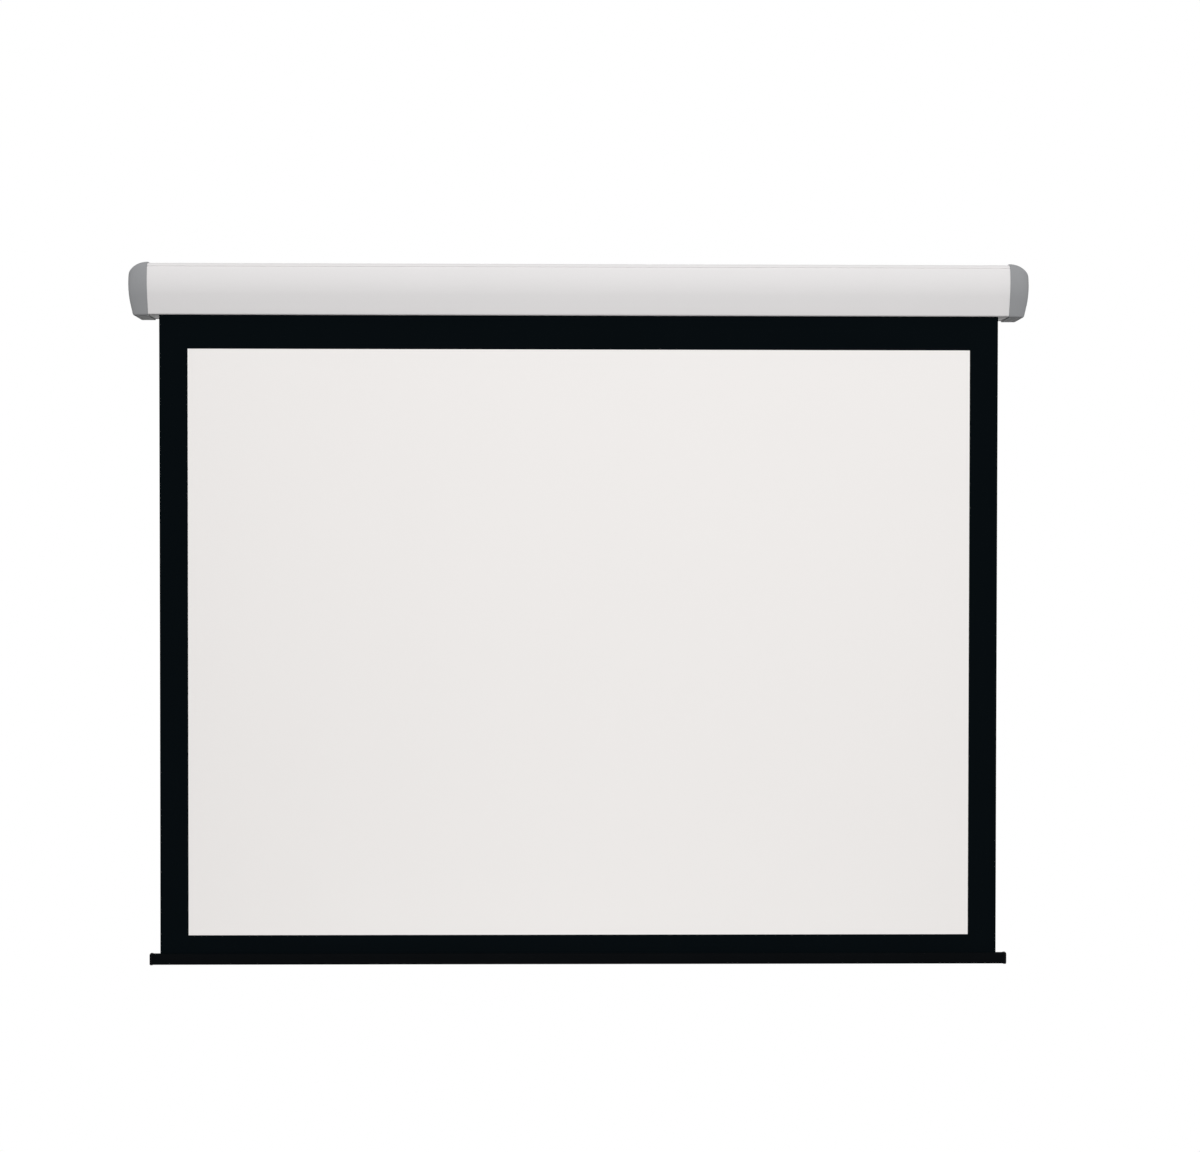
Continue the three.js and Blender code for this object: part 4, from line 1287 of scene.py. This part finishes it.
@dataclass
class BottomBar:
    """The weight bar: an anodised extrusion with moulded ends and its rods; sizes in mm."""

    plan: Plan = PLAN
    overhang: float = 14
    depth: float = 13
    rounding: float = 3
    rounding_steps: int = 10
    slot: float = 1.7
    hem: tuple[float, float] = (5.4, 2.8)
    weight: tuple[float, float] = (5.9, 4.4)
    end_thickness: float = 5
    end_rim: float = 0.8
    end_rounding: float = 1.8
    end_rings: int = 8
    peg: tuple[float, float] = (8, 4)
    peg_root: float = 1.5

    def outline(self, grow: float) -> list[Point]:
        """Draws the bar's outline.

        Args:
            grow: How far it lies outside the extrusion's own outline.

        Returns:
            The outline's points.
        """
        middle = self.plan.bar_top - self.plan.bar_height / 2
        corners = [Corner(d, h, self.rounding + grow, self.rounding_steps) for d, h in rectangle(
            self.plan.sheet_depth, middle, self.depth + 2 * grow, self.plan.bar_height + 2 * grow)]
        return rounded(corners)

    def build(self) -> list[bpy.types.Object]:
        """Makes the bar, its rods and its two ends.

        Returns:
            The extrusion, the hem's rod, the weight's rod and the ends.
        """
        plan = self.plan
        half = plan.sheet_width / 2 + self.overhang
        hem_height = plan.bar_top - self.hem[0]
        weight_height = plan.bar_top - plan.bar_height + self.weight[0]
        section = Section().add(self.outline(0)).cut(circle(plan.sheet_depth, hem_height, self.hem[1]))
        mouth = plan.bar_top + CUT_OVER
        section.cut(rectangle(plan.sheet_depth, (mouth + hem_height) / 2, self.slot, mouth - hem_height))
        section.cut(circle(plan.sheet_depth, weight_height, self.weight[1]))
        bar = make_object("weight_bar_profile", section.prism(-half, half), ANODISED)
        made = [hold(bar, "bar", "bar_black", "bottom_bar")]
        made += [dressed(node, "bar", BRIGHT_STEEL, "bright_steel") for node in ("hem_rod", "weight_rod")]
        return made + [self._end(name, side, half, weight_height) for name, side in SIDES.items()]

    def _end(self, name: str, side: int, half: float, weight_height: float) -> bpy.types.Object:
        """Makes one moulded end, with the peg that holds it in the bar.

        Args:
            name: left or right.
            side: -1 or 1.
            half: Half the bar's length.
            weight_height: Height of the rod's bore, which takes the peg.

        Returns:
            The end.
        """
        rings = [[Vector((0, -d, h)) for d, h in self.outline(self.end_rim)]]
        for short, inward in round_over(self.end_rounding, self.end_rings):
            x = self.end_thickness - short
            rings.append([Vector((x, -d, h)) for d, h in self.outline(self.end_rim - inward)])
        bm = lofted(rings)
        long, radius = self.peg
        peg = Section().add(circle(self.plan.sheet_depth, weight_height, radius)).prism(-long, self.peg_root)
        bm = combine(bm, peg, Joining.ADDED)
        place_on_side(bm, side, Vector((side * half, 0, 0)))
        piece = make_object(f"bar_end_{name}", bm, MOULDED_NYLON)
        return hold(piece, "bar", "bar_cap_plastic", f"bar_end_cap_{name}")


@dataclass
class Studio:
    """The plain pale floor, the soft lights and the camera; sizes in metres."""

    floor_height: float = -2.1
    floor_radius: float = 1.15
    floor_middle: tuple[float, float] = (0.0, -0.25)
    floor_steps: int = 96
    floor_fade: tuple[float, float] = (0.45, 0.98)
    floor_colour: str = "#F2F2F1"
    surround_overhead: float = 0.4
    surround_above: float = 0.82
    surround_below: float = 0.0
    horizon: tuple[float, float] = (-0.3, 0.3)
    zenith: tuple[float, float] = (0.3, 0.9)
    lamp_aim: tuple[float, float, float] = (0, 0, -0.6)
    lamps: tuple[tuple[str, tuple[float, float, float], tuple[float, float], float], ...] = (
        ("front_panel", (0.35, -4.6, 0.9), (3.2, 2.2), 151.0),
        ("back_panel", (-1.4, 6.0, 2.0), (5.0, 3.0), 300.0))
    camera_place: tuple[float, float, float] = (-0.02342, -4.2, -0.45790)
    camera_turn: tuple[float, float, float] = (0.8500, -0.9423, 0.0638)
    camera_lens: float = 67.18
    camera_sensor: float = 36.0
    camera_sight: float = 100

    def build(self) -> None:
        """Sets up the floor, the world, the lamps, the camera and the view transform."""
        self._floor()
        self._world()
        for row in self.lamps:
            self._lamp(*row)
        self._camera()
        bpy.context.scene.view_settings.view_transform = "Standard"

    def _floor(self) -> None:
        """Makes a round pale floor that shows no edge: it fades out at its rim and is clear from below."""
        bm = bmesh.new()
        bmesh.ops.create_circle(bm, cap_ends=True, segments=self.floor_steps, radius=self.floor_radius)
        floor = add_mesh("studio_floor", bm)
        floor.location = (*self.floor_middle, self.floor_height)
        # Matt painted board, pale: it takes a soft shadow, and fades with its distance from the middle
        material = bpy.data.materials.new("matt_painted_board_pale")
        tree = empty_tree(material)
        place = add_node(tree, "ShaderNodeTexCoord").outputs["Object"]
        far = add_node(tree, "ShaderNodeVectorMath", {0: place}, operation="LENGTH").outputs["Value"]
        full, gone = (share * self.floor_radius for share in self.floor_fade)
        fade = eased(tree, far, (full, gone))
        below = add_node(tree, "ShaderNodeNewGeometry").outputs["Backfacing"]
        hidden = add_node(tree, "ShaderNodeMath", {0: fade, 1: below}, operation="MAXIMUM").outputs[0]
        board = add_node(tree, "ShaderNodeBsdfDiffuse", {"Color": to_linear(self.floor_colour)})
        clear = add_node(tree, "ShaderNodeBsdfTransparent")
        mixed = add_node(tree, "ShaderNodeMixShader", {
            "Fac": hidden, 1: board.outputs[0], 2: clear.outputs[0]})
        add_node(tree, "ShaderNodeOutputMaterial", {"Surface": mixed.outputs[0]})
        floor.data.materials.append(material)

    def _world(self) -> None:
        """Makes a grey surround for the light, which the camera, gloss and glass see as white."""
        world = bpy.data.worlds.new("studio_surround")
        bpy.context.scene.world = world
        tree = empty_tree(world)
        rays = add_node(tree, "ShaderNodeLightPath").outputs
        seen = rays["Is Camera Ray"]
        for name in ("Is Glossy Ray", "Is Transmission Ray"):
            seen = add_node(tree, "ShaderNodeMath", {0: seen, 1: rays[name]}, operation="MAXIMUM").outputs[0]
        way = add_node(tree, "ShaderNodeTexCoord").outputs["Generated"]
        height = add_node(tree, "ShaderNodeSeparateXYZ", {"Vector": way}).outputs["Z"]
        upper = eased(tree, height, self.zenith, (self.surround_above, self.surround_overhead))
        lit = eased(tree, height, self.horizon, (self.surround_below, upper))
        strength = add_node(tree, "ShaderNodeMapRange", {"Value": seen, "To Min": lit, "To Max": 1.0})
        light = add_node(tree, "ShaderNodeBackground", {
            "Color": (1.0, 1.0, 1.0, 1.0), "Strength": strength.outputs["Result"]})
        add_node(tree, "ShaderNodeOutputWorld", {"Surface": light.outputs[0]})

    def _lamp(self, name: str, place: tuple[float, float, float], size: tuple[float, float],
              power: float) -> None:
        """Makes one soft panel that faces the middle of the screen.

        Args:
            name: The lamp's name.
            place: Its middle.
            size: Its width and height.
            power: Its power in watts.
        """
        data = bpy.data.lights.new(name, "AREA")
        data.shape, data.energy = "RECTANGLE", power
        data.size, data.size_y = size
        lamp = add_object(name, data)
        lamp.location = place
        lamp.rotation_euler = (Vector(self.lamp_aim) - Vector(place)).to_track_quat("-Z", "Y").to_euler()
        lamp.visible_camera = False
        lamp.visible_glossy = False

    def _camera(self) -> None:
        """Places the camera where the photograph's perspective puts it."""
        yaw, pitch, roll = (math.radians(a) for a in self.camera_turn)
        forward = Vector((math.sin(yaw) * math.cos(pitch), math.cos(yaw) * math.cos(pitch), math.sin(pitch)))
        right = Vector((math.cos(yaw), -math.sin(yaw), 0))
        up = right.cross(forward)
        across = right * math.cos(roll) + up * math.sin(roll)
        upward = up * math.cos(roll) - right * math.sin(roll)
        data = bpy.data.cameras.new("camera")
        data.lens, data.sensor_width, data.clip_end = self.camera_lens, self.camera_sensor, self.camera_sight
        camera = add_object("camera", data)
        camera.matrix_world = Matrix.Translation(self.camera_place) @ Matrix(
            (across, upward, -forward)).transposed().to_4x4()
        bpy.context.scene.camera = camera


def main() -> None:
    """Builds each sub-assembly in order and reports each of its pieces."""
    logging.basicConfig(level=logging.INFO, format="%(message)s")
    for part in (Case(), EndCaps(), Hardware(), RollerSet(), MotorLead(), HangingCloth(), BottomBar()):
        for piece in part.build():
            LOG.info("%s: %s, %d faces", type(part).__name__, piece.name, len(piece.data.polygons))
    Studio().build()
    LOG.info("Studio: floor, surround, lamps and camera")


if __name__ == "__main__":
    main()
